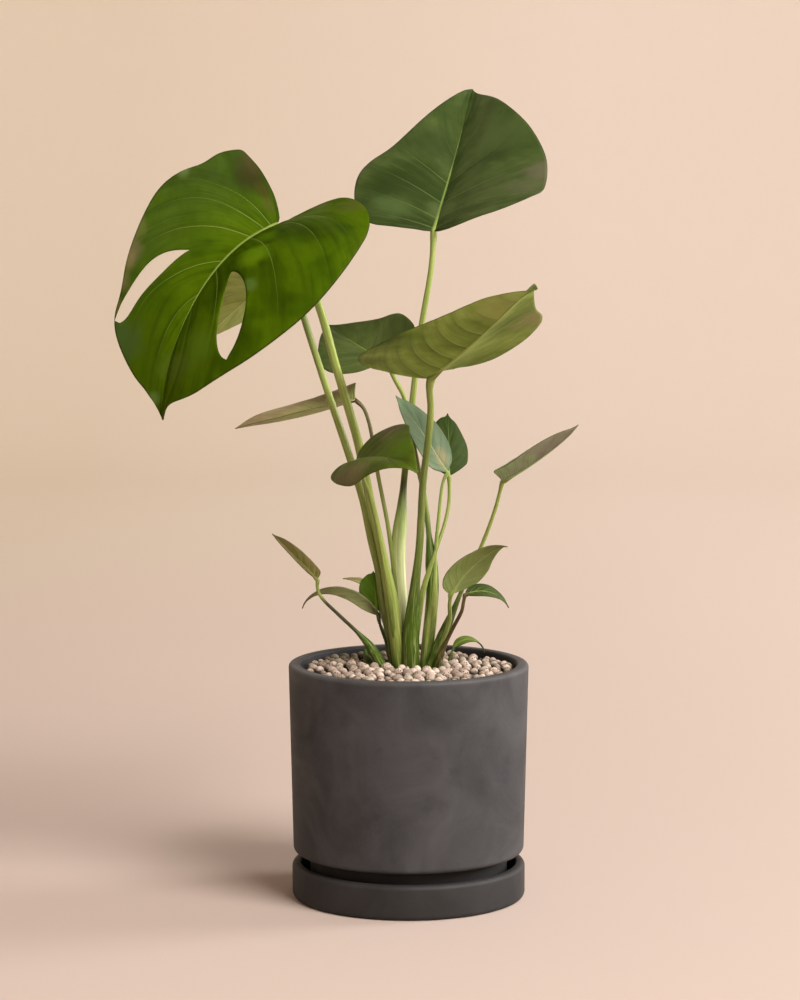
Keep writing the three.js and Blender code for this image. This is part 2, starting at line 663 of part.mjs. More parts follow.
function stalkSolid(stalk, grow) {
  const ends = stalk.leaf ? stalkEnd(leafByName(stalk.leaf)) : [];
  const points = [...stalk.path.map((point) => new THREE.Vector3(...point)), ...ends];
  const curve = new THREE.CatmullRomCurve3(points, false, 'centripetal');
  const tube = new THREE.CylinderGeometry(1, 1, 1, stalk.sides, stalk.steps);
  const place = tube.attributes.position;
  for (let i = 0; i < place.count; i += 1) {
    const share = THREE.MathUtils.clamp(place.getY(i) + 0.5, 0, 1);
    const tangent = curve.getTangentAt(share);
    const side = new THREE.Vector3(0, 1, 0).projectOnPlane(tangent).normalize();
    const other = side.clone().cross(tangent);
    const radius = stalkRadius(stalk, share) + grow;
    const point = curve.getPointAt(share)
      .addScaledVector(side, radius * place.getX(i))
      .addScaledVector(other, radius * place.getZ(i));
    place.setXYZ(i, point.x, point.y, point.z);
  }
  return solidOf(tube);
}

function crownSolid(crown, grow) {
  const bottom = soilTop - crown.depth;
  const low = crown.radius * crownNeck;
  const shaft = turned([
    [0, bottom - grow],
    [low * crownFoot + grow, bottom - grow],
    [low + grow, bottom + crownBevel.foot],
    [crown.radius + grow, soilTop - crownBevel.shoulder],
    [crown.radius + grow, crownTop - crownBevel.cap],
    [crown.radius * crownCap + grow, crownTop + grow],
    [0, crownTop + grow],
  ], crownSides);
  shaft.translate(crown.at[0], crown.at[1], 0);
  return solidOf(shaft);
}

function stemsSolid(stalks, crowns, grow) {
  const tubes = stalks.map((stalk) => stalkSolid(stalk, grow));
  return union([...tubes, ...crowns.map((crown) => crownSolid(crown, grow))]);
}

// ---------------------------------------------------------------- gravel

function gravelHeight(radius) {
  return mix(gravelTop.middle, gravelTop.side, (radius / pot.rimRadius) ** 2);
}

function gravelSolid() {
  const random = randomFrom(11);
  const outer = pot.rimRadius - pot.wall - 2 * clearance - gravelGap;
  const bottom = soilTop + clearance;
  const bed = solidOf(turned([
    [0, bottom],
    [outer - 1, bottom],
    [outer, gravelTop.side - grain.low],
    [outer * 0.5, gravelHeight(outer * 0.5) - grain.low],
    [0, gravelTop.middle - grain.low],
  ], gravelSides));
  const grains = [];
  for (let i = 0; i < grain.count; i += 1) {
    const size = grain.radius + grain.spread * (random() - 0.5);
    const radius = (outer - size - grain.inset) * Math.sqrt((i + 0.5) / grain.count);
    const angle = i * goldenTurn + 0.15 * random();
    const lump = new THREE.OctahedronGeometry(size);
    lump.rotateX(grain.turn * random());
    lump.rotateZ(grain.turn * random());
    lump.scale(1, mix(grain.narrow, 1, random()), grain.flat);
    const lift = gravelHeight(radius) - grain.low + grain.scatter * (random() - 0.5);
    lump.translate(radius * Math.cos(angle), radius * Math.sin(angle), lift);
    grains.push(solidOf(lump));
  }
  return union([bed, ...grains]);
}

// ---------------------------------------------------------------- the plant

const fullLeaves = leaves.map((leaf) => ({ ...leafDefaults, ...leaf }));

function leafByName(name) {
  return fullLeaves.find((leaf) => leaf.name === name);
}

const concrete = { color: 0x464442, roughness: 0.75, metalness: 0 };
const stalkGreen = { color: 0x82963c, roughness: 0.45, metalness: 0 };
const plant = new THREE.Group();

function addPiece(name, geometry, look) {
  const mesh = new THREE.Mesh(geometry, new THREE.MeshStandardMaterial(look));
  mesh.name = name;
  plant.add(mesh);
}

addPiece('saucer', saucerGeometry(), { ...concrete, color: 0x2e2c2b });
addPiece('pot', potGeometry(), concrete);

const stemGroups = [
  { name: 'stems_main', stalks: mainStalks, crowns: mainCrowns },
  { name: 'stem_left', stalks: leftStalks, crowns: leftCrowns },
  { name: 'stem_back', stalks: backStalks, crowns: backCrowns },
];
const blades = fullLeaves.map((leaf) => ({ leaf, middle: midSurface(leaf) }));
const bladeSpace = blades.map(({ middle }) => solidOf(thickened(middle, bladeThickness + 2 * clearance)));

let soil = soilSolid();
let gravel = gravelSolid();
for (const { name, stalks, crowns } of stemGroups) {
  const holes = stemsSolid(stalks, crowns, clearance);
  soil = soil.subtract(holes);
  gravel = gravel.subtract(holes);
  const stems = bladeSpace.reduce((rest, space) => rest.subtract(space), stemsSolid(stalks, crowns, 0));
  addPiece(name, geometryOf(mainBody(stems)), stalkGreen);
}
addPiece('potting_soil', geometryOf(mainBody(soil)), { color: 0x2b2019, roughness: 1, metalness: 0 });
addPiece('gravel', geometryOf(mainBody(gravel)), { color: 0xcdb9a8, roughness: 0.95, metalness: 0 });

for (const { leaf, middle } of blades) {
  const look = { color: leaf.colour, roughness: 0.4, metalness: 0 };
  addPiece(leaf.name, thickened(middle, bladeThickness), look);
}

export default plant;
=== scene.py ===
import math

import bmesh
import bpy
import numpy as np
from mathutils import Matrix, Vector, noise


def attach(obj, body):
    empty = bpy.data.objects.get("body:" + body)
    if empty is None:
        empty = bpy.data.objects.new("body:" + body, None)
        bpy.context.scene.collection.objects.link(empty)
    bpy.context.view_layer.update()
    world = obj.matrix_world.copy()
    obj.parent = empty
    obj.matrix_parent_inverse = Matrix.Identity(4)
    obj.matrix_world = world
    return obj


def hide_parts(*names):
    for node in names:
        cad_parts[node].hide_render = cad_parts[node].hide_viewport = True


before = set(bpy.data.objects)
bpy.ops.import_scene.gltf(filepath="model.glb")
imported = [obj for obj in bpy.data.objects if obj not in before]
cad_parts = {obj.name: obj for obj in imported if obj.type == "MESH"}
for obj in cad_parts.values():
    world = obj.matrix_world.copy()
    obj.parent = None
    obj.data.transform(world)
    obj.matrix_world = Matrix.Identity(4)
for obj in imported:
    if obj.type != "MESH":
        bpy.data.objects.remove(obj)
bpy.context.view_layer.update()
mm = 0.001


def mixValues(low, high, share):
    return low + (high - low) * share


def smoothRange(value, low, high):
    share = np.clip((value - low) / (high - low), 0, 1)
    return share * share * (3 - 2 * share)


def srgb(*parts):
    # a colour of 0 to 255 as Blender's linear colour
    parts = [part / 255 for part in parts]
    return (*(part / 12.92 if part < 0.04045 else ((part + 0.055) / 1.055) ** 2.4 for part in parts), 1.0)


def addObject(name, data):
    piece = bpy.data.objects.new(name, data)
    bpy.context.scene.collection.objects.link(piece)
    return piece


def addMesh(name, points, edges, faces):
    mesh = bpy.data.meshes.new(name)
    mesh.from_pydata(points, edges, faces)
    mesh.polygons.foreach_set("use_smooth", [True] * len(mesh.polygons))
    mesh.update()
    return mesh


def storeLayer(mesh, label, kind, part, values):
    layer = mesh.attributes.new(label, kind, "POINT")
    layer.data.foreach_set(part, np.array(values, np.float32).ravel())


def keepPiece(piece, node):
    # the finer piece takes the CAD node's place
    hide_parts(node)
    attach(piece, "root")


# Nodes. addNode gives back the node's outputs, each as a Value; arithmetic on a Value adds Math nodes.
class Outputs:
    def __init__(self, node):
        self.node = node

    def __getitem__(self, name):
        return Value(self.node.outputs[name])


def setInputs(node, values):
    for name, value in values.items():
        if isinstance(value, Value):
            value.tree.links.new(value.socket, node.inputs[name])
        else:
            node.inputs[name].default_value = value


def addNode(tree, kind, values=None, **settings):
    node = tree.nodes.new(kind)
    for name, setting in settings.items():
        setattr(node, name, setting)
    setInputs(node, values or {})
    return Outputs(node)


class Value:
    def __init__(self, socket):
        self.socket, self.tree = socket, socket.id_data

    def reckon(self, operation, other=0.0):
        return addNode(self.tree, "ShaderNodeMath", {0: self, 1: other}, operation=operation)[0]

    def __add__(self, other):
        return self.reckon("ADD", other)

    def __sub__(self, other):
        return self.reckon("SUBTRACT", other)

    def __mul__(self, other):
        return self.reckon("MULTIPLY", other)

    def __truediv__(self, other):
        return self.reckon("DIVIDE", other)

    def __lt__(self, other):
        return self.reckon("LESS_THAN", other)

    def vector(self, operation, values=None, output="Vector"):
        return addNode(self.tree, "ShaderNodeVectorMath", {0: self, **(values or {})},
                       operation=operation)[output]

    def span(self, fromLow, fromHigh, toLow=0.0, toHigh=1.0, **settings):
        # from one range to another, held inside it
        return addNode(self.tree, "ShaderNodeMapRange", {
            "Value": self, "From Min": fromLow, "From Max": fromHigh, "To Min": toLow,
            "To Max": toHigh}, **settings)["Result"]

    def smooth(self, *limits):
        return self.span(*limits, interpolation_type="SMOOTHSTEP")

    def noise(self, scale, detail, **more):
        return addNode(self.tree, "ShaderNodeTexNoise", {
            "Vector": self, "Scale": scale, "Detail": detail, **more})["Fac"]

    def cells(self, scale):
        return addNode(self.tree, "ShaderNodeTexVoronoi", {"Vector": self, "Scale": scale})

    def bump(self, strength, distance):
        return addNode(self.tree, "ShaderNodeBump", {
            "Height": self, "Strength": strength, "Distance": distance})["Normal"]


def mix(share, first, second):
    tree = next(value.tree for value in (share, first, second) if isinstance(value, Value))
    return addNode(tree, "ShaderNodeMix", {0: share, 6: first, 7: second}, data_type="RGBA")[2]


def joined(tree, **parts):
    return addNode(tree, "ShaderNodeCombineXYZ", parts)[0]


def ownPlace(tree):
    return addNode(tree, "ShaderNodeTexCoord")["Object"]


def attribute(tree, name, output="Fac"):
    return addNode(tree, "ShaderNodeAttribute", attribute_name=name)[output]


def newMaterial(name):
    material = bpy.data.materials.new(name)
    material.use_nodes = True
    return material, material.node_tree, material.node_tree.nodes["Principled BSDF"]


def newTree(name, kind, inputs, outputs):
    # a node group whose inputs and outputs are listed by socket type
    tree = bpy.data.node_groups.new(name, kind)
    for ends, inOut in ((inputs, "INPUT"), (outputs, "OUTPUT")):
        for socketType, labels in ends.items():
            for label in labels:
                tree.interface.new_socket(
                    name=label, in_out=inOut, socket_type="NodeSocket" + socketType)
    return tree, addNode(tree, "NodeGroupInput"), addNode(tree, "NodeGroupOutput").node


# Camera, lights and studio paper
cameraSettings = {
    "place": (-0.0072, -2.635, 0.6394),   # m
    "down": 6.635,                        # deg below level
    "lens": 144.0, "sensor": 36.0,        # mm
    "reach": 40.0,
}


def makeCamera(settings):
    data = bpy.data.cameras.new("camera")
    data.sensor_fit = "HORIZONTAL"
    data.sensor_width = settings["sensor"]
    data.lens = settings["lens"]
    data.clip_end = settings["reach"]
    data.dof.use_dof = False
    camera = addObject("camera", data)
    camera.location = settings["place"]
    camera.rotation_euler = (math.radians(90 - settings["down"]), 0, 0)
    bpy.context.scene.camera = camera


lightSettings = {
    "key_light": {"place": (2.5, -2.88, 3.6), "size": 3.15, "power": 392.0, "colour": (1.0, 0.97, 0.95)},
    "side_light": {"place": (3.2, 0.75, 1.3), "size": 1.4, "power": 98.0, "colour": (0.97, 0.98, 1.0)},
    "fill_light": {"place": (-1.6, -2.8, 2.2), "size": 1.6, "power": 4.0, "colour": (1.0, 0.97, 0.94)},
}
lightAim = (0, 0, 0.3)
skySettings = {"Color": (1.0, 0.85, 0.7, 1.0), "Strength": 0.21}


def makeLight(name, settings):
    data = bpy.data.lights.new(name, "AREA")
    data.shape = "DISK"
    data.size = settings["size"]
    data.energy = settings["power"]
    data.color = settings["colour"]
    light = addObject(name, data)
    light.location = settings["place"]
    aim = Vector(lightAim) - Vector(settings["place"])
    light.rotation_euler = aim.to_track_quat("-Z", "Y").to_euler()


stageSettings = {
    "floor": 3.2, "bend": 1.6, "wall": 5.0, "bendSteps": 16, "sides": 96,      # m
    "colour": (0.5, 0.405, 0.35, 1.0),
    "glowLeft": (0.203, 0.182, 0.112, 1.0),       # what the far side gives out, so that it is as pale
    "glowRight": (0.297, 0.258, 0.208, 1.0),
    "glowDepth": (0.0, 3.3),                      # where the glow starts and is whole, m behind the pot
    "glowAcross": (-0.6, 0.4),
}


def disc(profile, sides, first=0):
    # rings of points round a middle point, from the (radius, height) pairs of a profile
    points, faces = [(0.0, 0.0, profile[0][1])], []
    for radius, height in profile[1:]:
        for side in range(sides):
            turn = 2 * math.pi * side / sides
            points.append((radius * math.cos(turn), radius * math.sin(turn), height))
    for side in range(sides):
        after = (side + 1) % sides
        faces.append((first, first + 1 + side, first + 1 + after))
        for ring in range(len(profile) - 2):
            low, high = first + 1 + ring * sides, first + 1 + (ring + 1) * sides
            faces.append((low + side, high + side, high + after, low + after))
    return points, faces


def makeStage(settings):
    # a round floor that turns up into a wall on every side
    floor, bend = settings["floor"], settings["bend"]
    profile = [(0.0, 0.0), (floor, 0.0)]
    for step in range(1, settings["bendSteps"] + 1):
        angle = math.radians(90 * step / settings["bendSteps"])
        profile.append((floor + bend * math.sin(angle), bend * (1 - math.cos(angle))))
    profile.append((floor + bend, settings["wall"]))
    points, faces = disc(profile, settings["sides"])
    stage = addObject("studio_floor", addMesh("studio_floor", points, [], faces))
    material, tree, shader = newMaterial("studio_paper")
    parts = addNode(tree, "ShaderNodeSeparateXYZ", {"Vector": ownPlace(tree)})
    glow = parts["Y"].smooth(*settings["glowDepth"])
    glowColour = mix(parts["X"].span(*settings["glowAcross"]), settings["glowLeft"], settings["glowRight"])
    setInputs(shader, {
        "Base Color": settings["colour"], "Roughness": 0.95, "Specular IOR Level": 0.1,
        "Emission Strength": 1.0, "Emission Color": mix(glow, (0, 0, 0, 1), glowColour)})
    stage.data.materials.append(material)


makeCamera(cameraSettings)
bpy.context.scene.view_settings.view_transform = "Standard"
for name, settings in lightSettings.items():
    makeLight(name, settings)
world = bpy.data.worlds.new("studio")
world.use_nodes = True
setInputs(world.node_tree.nodes["Background"], skySettings)
bpy.context.scene.world = world
makeStage(stageSettings)
print("stage, camera and lights made")


# Leaves. Lengths are in mm and angles in deg, as in the part. A pair is [the leaf's own left,
# right], seen from above, and a single value stands for both.
bladeSettings = {
    "firstRib": 0.06,         # share of the margin left open at the sinus
    "ribStart": 0.25,         # the ribs before this fan out from the leaf's base
    "ribPower": 1.6,
    "ribSweep": 0.1, "sweepStart": 0.1, "sweepRamp": 0.3,
    "spineBack": 0.35, "spineSteps": 60, "droopStart": 0.7,
    "thickness": 0.75, "edgeThickness": 0.45,
    "midribAbove": 0.12, "midribBelow": 0.62,      # how far the midrib sinks and stands out
    "outPower": 1.35,         # draws the mesh's points towards the midrib
    "probe": 0.004,           # step that the surface's slope is measured over
    "fullQuilt": 18,          # gap between veins from which the quilting is whole
    "wanderScale": 0.022, "rightPhase": 0.37,
}

# 'colours' are the upper face, what it clouds into darker and lighter, the under face, the veins and the rim;
# the darker and lighter ones also give the painted shade and light. 'patches' are soft spots: place, radius,
# colour, share; some are painted light and painted highlights, as noted at the leaf.
leafColours = ("Upper", "Dark", "Light", "Under", "Vein", "Rim")
leafDefaults = {
    "pitch": 0, "roll": 0, "lobes": 0.07, "widest": 0.26, "shoulder": 0.6,
    "young": False, "fold": 10, "curl": 0, "bend": 0, "droop": 0, "backBend": 0,
    "twist": 0, "sway": 0, "wave": 0, "waves": 2.5, "ribs": 9, "cuts": [], "bulges": [],
    "ribDetail": 10, "outDetail": 30,                            # how fine the mesh is
    "veins": (0.06, 0.19, 0.3, 0.41, 0.52, 0.63, 0.75, 0.87),    # where the side veins start
    "veinLean": 0.08,        # how far they lean on towards the tip
    "veinArch": [],          # where they arch: how far back they set out, how far on they turn
    "veinWidth": 0.55, "ribWidth": 1.5, "quilt": 0.5, "unevenness": 0.7,
    "veinStrength": 0.6, "midribStrength": 0.85, "streaks": 0.5, "roughness": 0.5, "specular": 0.2,
    "sheenTint": (0.62, 0.75, 0.4, 1.0),
    "rightShade": 0.0,       # painted shade: how much darker the leaf's own right half is painted, more towards its margin
    "pucker": 0.0, "patches": [], "slot": "leaf_olive",
}

leaves = {
    "leaf_large_cut": {
        "at": [-107, -60, 561], "heading": 235, "pitch": -9, "roll": -11, "length": 216,
        "widths": [104, 79], "lobes": [0.22, 0.11], "widest": [0.26, 0.4], "shoulder": [0.68, 0.71],
        "fold": [36, 40], "curl": [-70, 35], "bend": 76, "droop": 15, "backBend": -25, "twist": -18,
        "sway": 0.06, "wave": 1.5, "ribs": 16, "outDetail": 56,
        "cuts": [
            {"side": 1, "ribs": [0.65, 0.74], "from": 0.25, "to": 0.895, "halfWidth": 0.036, "skew": 1},
            {"side": -1, "ribs": [0.62, 0.722], "from": 0.375, "to": 0.985, "halfWidth": 0.038,
             "skew": 1.5},
        ],
        "bulges": [[-1, 0.335, 0.03, 3], [-1, 0.42, 0.025, -4], [-1, 0.485, 0.035, 3],
                   [-1, 0.725, 0.04, 8], [-1, 0.83, 0.04, -4], [1, 0.91, 0.05, -3]],
        "veins": [(0.02, 0.27, 0.365, 0.5, 0.66, 0.77, 0.88), (0.1, 0.325, 0.385, 0.48, 0.625, 0.74, 0.86)],
        "veinLean": 0.15, "veinWidth": 0.8, "ribWidth": 2.4, "quilt": 0.9, "unevenness": 1.2,
        "colours": [(53, 74, 2), (28, 41, 2), (68, 88, 5), (85, 86, 24), (118, 136, 60), (38, 40, 13)],
        "veinStrength": 0.45, "midribStrength": 0.75, "roughness": 0.55, "specular": 0.03,
        "sheenTint": (0.25, 0.5, 0.03, 1.0), "rightShade": 0.5, "slot": "leaf_bright",
        "patches": [
            # The brown spots are the blade's own marks. Painted highlights: the pale spots at (-177, -118),
            # (-124, -158) and (-199, -166). The grey-brown spots on the upper rim are partly the margin's own
            # brown and partly painted sheen. Painted light: the bright green spots along the midrib, from
            # (-113, -106) to (-179, -168), where the fold shades the blade.
            ((-130, -52, 602), 20, (40, 34, 10), 0.75), ((-128, -46, 612), 14, (58, 48, 22), 0.6),
            ((-177, -118, 607), 10, (96, 112, 66), 0.35), ((-124, -158, 518), 9, (92, 118, 60), 0.3),
            ((-199, -166, 431), 8, (92, 112, 60), 0.3), ((-75, -50, 588), 16, (84, 78, 42), 0.5),
            ((-46, -66, 577), 14, (76, 72, 36), 0.4), ((-214, -170, 548), 15, (84, 72, 50), 0.55),
            ((-221, -180, 478), 22, (48, 62, 30), 0.6), ((-113, -106, 555), 14, (76, 104, 8), 0.6),
            ((-122, -133, 540), 18, (84, 112, 10), 0.8), ((-138, -165, 505), 18, (80, 108, 10), 0.8),
            ((-163, -170, 472), 20, (66, 88, 16), 0.7), ((-179, -168, 456), 18, (70, 86, 24), 0.7),
            ((-119, -47, 589), 11, (56, 50, 14), 0.6), ((-114, -51, 577), 9, (66, 64, 24), 0.5),
            ((-217, -175, 539), 12, (90, 78, 50), 0.6), ((-220, -180, 523), 11, (82, 72, 44), 0.6),
            ((-224, -186, 504), 9, (76, 70, 36), 0.5), ((-208, -164, 564), 12, (76, 76, 36), 0.5),
            ((-71, -51, 577), 11, (82, 94, 42), 0.5),
        ],
    },
    "leaf_top_back": {
        "at": [21, 50, 554], "heading": 78, "pitch": 30, "roll": -1, "length": 212,
        "widths": [78, 97], "widest": [0.23, 0.15], "shoulder": [0.5, 0.61], "fold": [35, 37],
        "curl": [-50, -43], "bend": -10, "droop": 7, "backBend": -12, "twist": 9, "wave": 1.5,
        "ribs": 13, "outDetail": 48, "veinWidth": 0.8, "ribWidth": 2.4, "quilt": 0.9,
        "unevenness": 1.2, "veinStrength": 0.35, "slot": "leaf_dark",
        "colours": [(51, 68, 26), (36, 48, 16), (78, 91, 47), (89, 95, 51), (114, 134, 69), (54, 47, 33)],
        "patches": [
            # the pale green spots at (85, 130, 636) and (-15, 63, 574) are painted light, on the parts that
            # the lamps leave darker
            ((85, 130, 636), 46, (62, 78, 36), 0.6), ((-15, 63, 574), 24, (74, 92, 48), 0.6),
            ((20, 140, 624), 32, (38, 52, 20), 0.65), ((28, 70, 570), 17, (88, 102, 58), 0.6),
            ((112, 68, 604), 22, (88, 84, 64), 0.7), ((95, 46, 591), 20, (80, 82, 56), 0.6),
        ],
    },
    "leaf_behind_large": {
        "at": [-99, 2, 525], "heading": 154, "pitch": -33, "roll": 23, "length": 106,
        "widths": 45, "lobes": 0.12, "fold": [12, 13], "curl": -4, "bend": 10, "ribs": 10,
        "colours": [(107, 120, 55), (103, 111, 53), (166, 180, 105), (155, 167, 90), (177, 184, 119),
                    (74, 73, 41)],
    },
    "leaf_middle": {
        "at": [18, -20, 436], "heading": -63, "pitch": 22, "roll": 11, "length": 189,
        "widths": 79, "widest": [0.29, 0.27], "shoulder": 0.53, "fold": [18, 35],
        "curl": [-37, -26], "bend": -10, "droop": 20, "backBend": -9, "twist": 13, "sway": 0.03,
        "wave": 1.2, "ribs": 13, "ribDetail": 9, "outDetail": 44, "veinWidth": 0.7,
        "veins": (-0.27, -0.13, 0, 0.13, 0.25, 0.38, 0.52, 0.67, 0.84), "veinArch": [0.1, 0.75],
        "ribWidth": 2.4, "quilt": 1.2, "unevenness": 1.0, "pucker": 0.42, "streaks": 0.25,
        "colours": [(100, 124, 46), (72, 88, 26), (150, 172, 86), (126, 146, 62), (162, 176, 100),
                    (76, 77, 42)],
        "patches": [
            ((-8, -102, 473), 34, (80, 104, 18), 0.7), ((-28, -84, 464), 20, (80, 98, 18), 0.5),
            ((75, -135, 500), 34, (144, 148, 84), 0.6), ((106, -47, 489), 28, (144, 140, 92), 0.75),
            ((-19, -110, 472), 22, (56, 66, 24), 0.75),
        ],
    },
    "leaf_behind_middle": {
        "at": [-17, 30, 445], "heading": 119, "pitch": 10, "roll": -10, "length": 110,
        "widths": [46, 45], "lobes": [0.07, -0.04], "widest": [0.23, 0.35], "fold": [12, 17],
        "curl": [-35, 31], "bend": -7, "ribs": 10, "veinStrength": 0.3, "slot": "leaf_dark",
        "colours": [(64, 82, 31), (47, 60, 22), (92, 106, 50), (100, 108, 51), (124, 142, 70), (67, 64, 31)],
    },
    "leaf_pale_centre": {
        "at": [32, 20, 354], "heading": 190, "pitch": 60, "roll": -55, "length": 77,
        "widths": 26, "lobes": [-0.08, -0.02], "widest": 0.36, "shoulder": 0.63, "young": True,
        "fold": [11, 3], "curl": [27, -37], "bend": 16, "sway": -0.03, "veinStrength": 0.2,
        "colours": [(84, 103, 76), (72, 88, 62), (112, 126, 98), (96, 110, 80), (134, 146, 108),
                    (61, 55, 32)],
        "patches": [((29, 20, 366), 12, (140, 126, 88), 0.55)],
    },
    "leaf_dark_centre": {
        "at": [34, 34, 349], "heading": 88, "pitch": 65, "roll": 30, "length": 60,
        "widths": 23, "lobes": [0, -0.16], "widest": [0.45, 0.47], "shoulder": 0.72, "young": True,
        "fold": [10, -8], "curl": [-11, -16], "bend": 16, "sway": -0.04, "veinStrength": 0.25,
        "specular": 0.08, "sheenTint": (0.35, 0.6, 0.15, 1.0), "slot": "leaf_dark",
        "colours": [(36, 50, 10), (20, 31, 5), (48, 62, 16), (30, 42, 6), (87, 107, 43), (41, 42, 14)],
    },
    "leaf_front_folded": {
        "at": [-42, -48, 371], "heading": -60, "pitch": 13, "roll": 36, "length": 92,
        "widths": [39, 38], "lobes": 0.08, "widest": 0.33, "fold": [15, 33], "curl": [-19, -70],
        "bend": 18, "droop": 60, "backBend": -5, "sway": -0.1, "ribs": 11, "slot": "leaf_bright",
        "colours": [(62, 80, 12), (56, 60, 20), (88, 110, 24), (84, 102, 30), (128, 140, 70), (71, 66, 40)],
        "patches": [
            ((-46, -88, 363), 24, (98, 90, 54), 0.75), ((-55, -78, 358), 16, (84, 72, 44), 0.5),
            ((-27, -57, 384), 15, (52, 62, 8), 0.6), ((-12, -51, 395), 18, (92, 80, 54), 0.7),
            ((-4, -96, 386), 15, (70, 100, 6), 0.7),
        ],
    },
    "leaf_left_long": {
        "at": [-45, 42, 413], "heading": 169, "pitch": -21, "roll": -34, "length": 108,
        "widths": [32, 36], "lobes": [0, 0.01], "widest": 0.25, "fold": [31, 22],
        "curl": [16, -70], "bend": -10, "droop": 9, "twist": 11, "sway": -0.1,
        "colours": [(158, 140, 103), (123, 106, 78), (154, 183, 93), (166, 151, 117), (174, 191, 119),
                    (88, 81, 53)],
    },
    "leaf_right_folded": {
        "at": [78, 0, 348], "heading": -43, "pitch": 26, "roll": -4, "length": 100,
        "widths": 32, "lobes": [-0.03, -0.02], "widest": 0.38, "shoulder": 0.64, "young": True,
        "fold": [32, 38], "curl": [-23, -68], "bend": -10, "droop": -10, "twist": 11, "sway": -0.05,
        "colours": [(137, 138, 119), (104, 100, 85), (137, 182, 98), (145, 140, 129), (162, 190, 123),
                    (82, 81, 56)],
    },
    "leaf_low_right": {
        "at": [35, -15, 256], "heading": -13, "pitch": 60, "roll": -22, "length": 68,
        "widths": 23, "lobes": [-0.02, 0.02], "widest": 0.34, "shoulder": 0.62, "young": True,
        "fold": [8, 23], "curl": [-34, -28], "bend": 36, "droop": 30, "veinStrength": 0.35,
        "colours": [(108, 121, 68), (90, 102, 50), (116, 134, 72), (126, 138, 80), (136, 150, 92),
                    (78, 74, 47)],
    },
    "leaf_low_right_arched": {
        "at": [47, -24, 257], "heading": 1, "pitch": 25, "roll": 17, "length": 43,
        "widths": 11, "lobes": [0.02, -0.03], "widest": 0.35, "shoulder": 0.64, "young": True,
        "fold": [14, 4], "curl": [-4, -3], "bend": 90, "ribs": 7, "slot": "leaf_dark",
        "colours": [(52, 67, 35), (29, 41, 10), (75, 88, 34), (87, 88, 42), (122, 134, 75), (60, 55, 31)],
    },
    "leaf_gravel_arched": {
        "at": [38, 40, 201], "heading": 22, "pitch": 58, "roll": 3, "length": 38,
        "widths": 6, "lobes": -0.03, "widest": 0.35, "shoulder": 0.64, "young": True,
        "fold": [18, 0], "curl": [8, -20], "bend": 135, "ribs": 8, "slot": "leaf_bright",
        "colours": [(84, 100, 36), (50, 64, 16), (96, 116, 42), (97, 107, 41), (127, 145, 74), (63, 60, 31)],
    },
    "leaf_low_left": {
        "at": [-76, 0, 266], "heading": 136, "pitch": 34, "roll": -3, "length": 64,
        "widths": 14, "lobes": -0.03, "widest": 0.33, "shoulder": 0.65, "young": True,
        "fold": 27, "curl": [5, -66], "bend": 4, "ribs": 8,
        "colours": [(113, 94, 56), (48, 57, 19), (113, 118, 52), (115, 94, 56), (146, 151, 88), (73, 63, 38)],
    },
    "leaf_left_arched": {
        "at": [-25, 20, 234], "heading": 188, "pitch": 63, "roll": -29, "length": 86,
        "widths": [12, 11], "lobes": [0.02, -0.03], "widest": 0.25, "young": True, "fold": -15,
        "curl": [-17, -56], "bend": 128, "droop": 9, "ribs": 10, "veinStrength": 0.3,
        "colours": [(112, 110, 74), (64, 76, 38), (122, 126, 80), (130, 122, 88), (146, 148, 98),
                    (85, 74, 50)],
    },
    "leaf_round_small": {
        "at": [-27, 34, 235], "heading": 100, "pitch": 72, "roll": 0, "length": 36,
        "widths": [15, 12], "lobes": 0.02, "widest": 0.45, "shoulder": 0.76, "young": True,
        "fold": [6, 10], "curl": [20, 10], "bend": 20, "ribs": 7, "veinStrength": 0.25,
        "specular": 0.08, "sheenTint": (0.35, 0.6, 0.15, 1.0), "slot": "leaf_bright",
        "colours": [(58, 80, 14), (38, 54, 8), (80, 102, 24), (56, 74, 16), (93, 109, 34), (44, 43, 10)],
    },
    "leaf_tiny_left": {
        "at": [-33, 48, 253], "heading": 172, "pitch": 34, "roll": -20, "length": 25,
        "widths": 5, "lobes": -0.03, "widest": 0.35, "young": True, "fold": 15, "bend": 40, "ribs": 6,
        "colours": [(165, 147, 117), (75, 87, 37), (165, 174, 90), (190, 174, 107), (179, 183, 114),
                    (92, 78, 51)],
    },
}
leafPairs = ("widths", "lobes", "widest", "shoulder", "fold", "curl", "veins")
for name, leaf in leaves.items():
    leaf = leaves[name] = {**leafDefaults, **leaf}
    for key in leafPairs:
        if not isinstance(leaf[key], list):
            leaf[key] = [leaf[key], leaf[key]]


def hermite(t, start, end, startSlope, endSlope):
    return ((2 * start - 2 * end + startSlope + endSlope) * t ** 3
            + (3 * end - 3 * start - 2 * startSlope - endSlope) * t ** 2 + startSlope * t + start)


def withEnds(points):
    # the points with one more before and after them
    return np.vstack([2 * points[0] - points[1], points, 2 * points[-1] - points[-2]])


def curveThrough(points, shares):
    # a uniform Catmull-Rom curve
    place = shares * (len(points) - 1)
    first = np.clip(np.floor(place).astype(int), 0, len(points) - 2)
    padded = withEnds(points)
    before, start, end, after = (padded[first + step] for step in range(4))
    return hermite((place - first)[..., None], start, end, (end - before) / 2, (after - start) / 2)


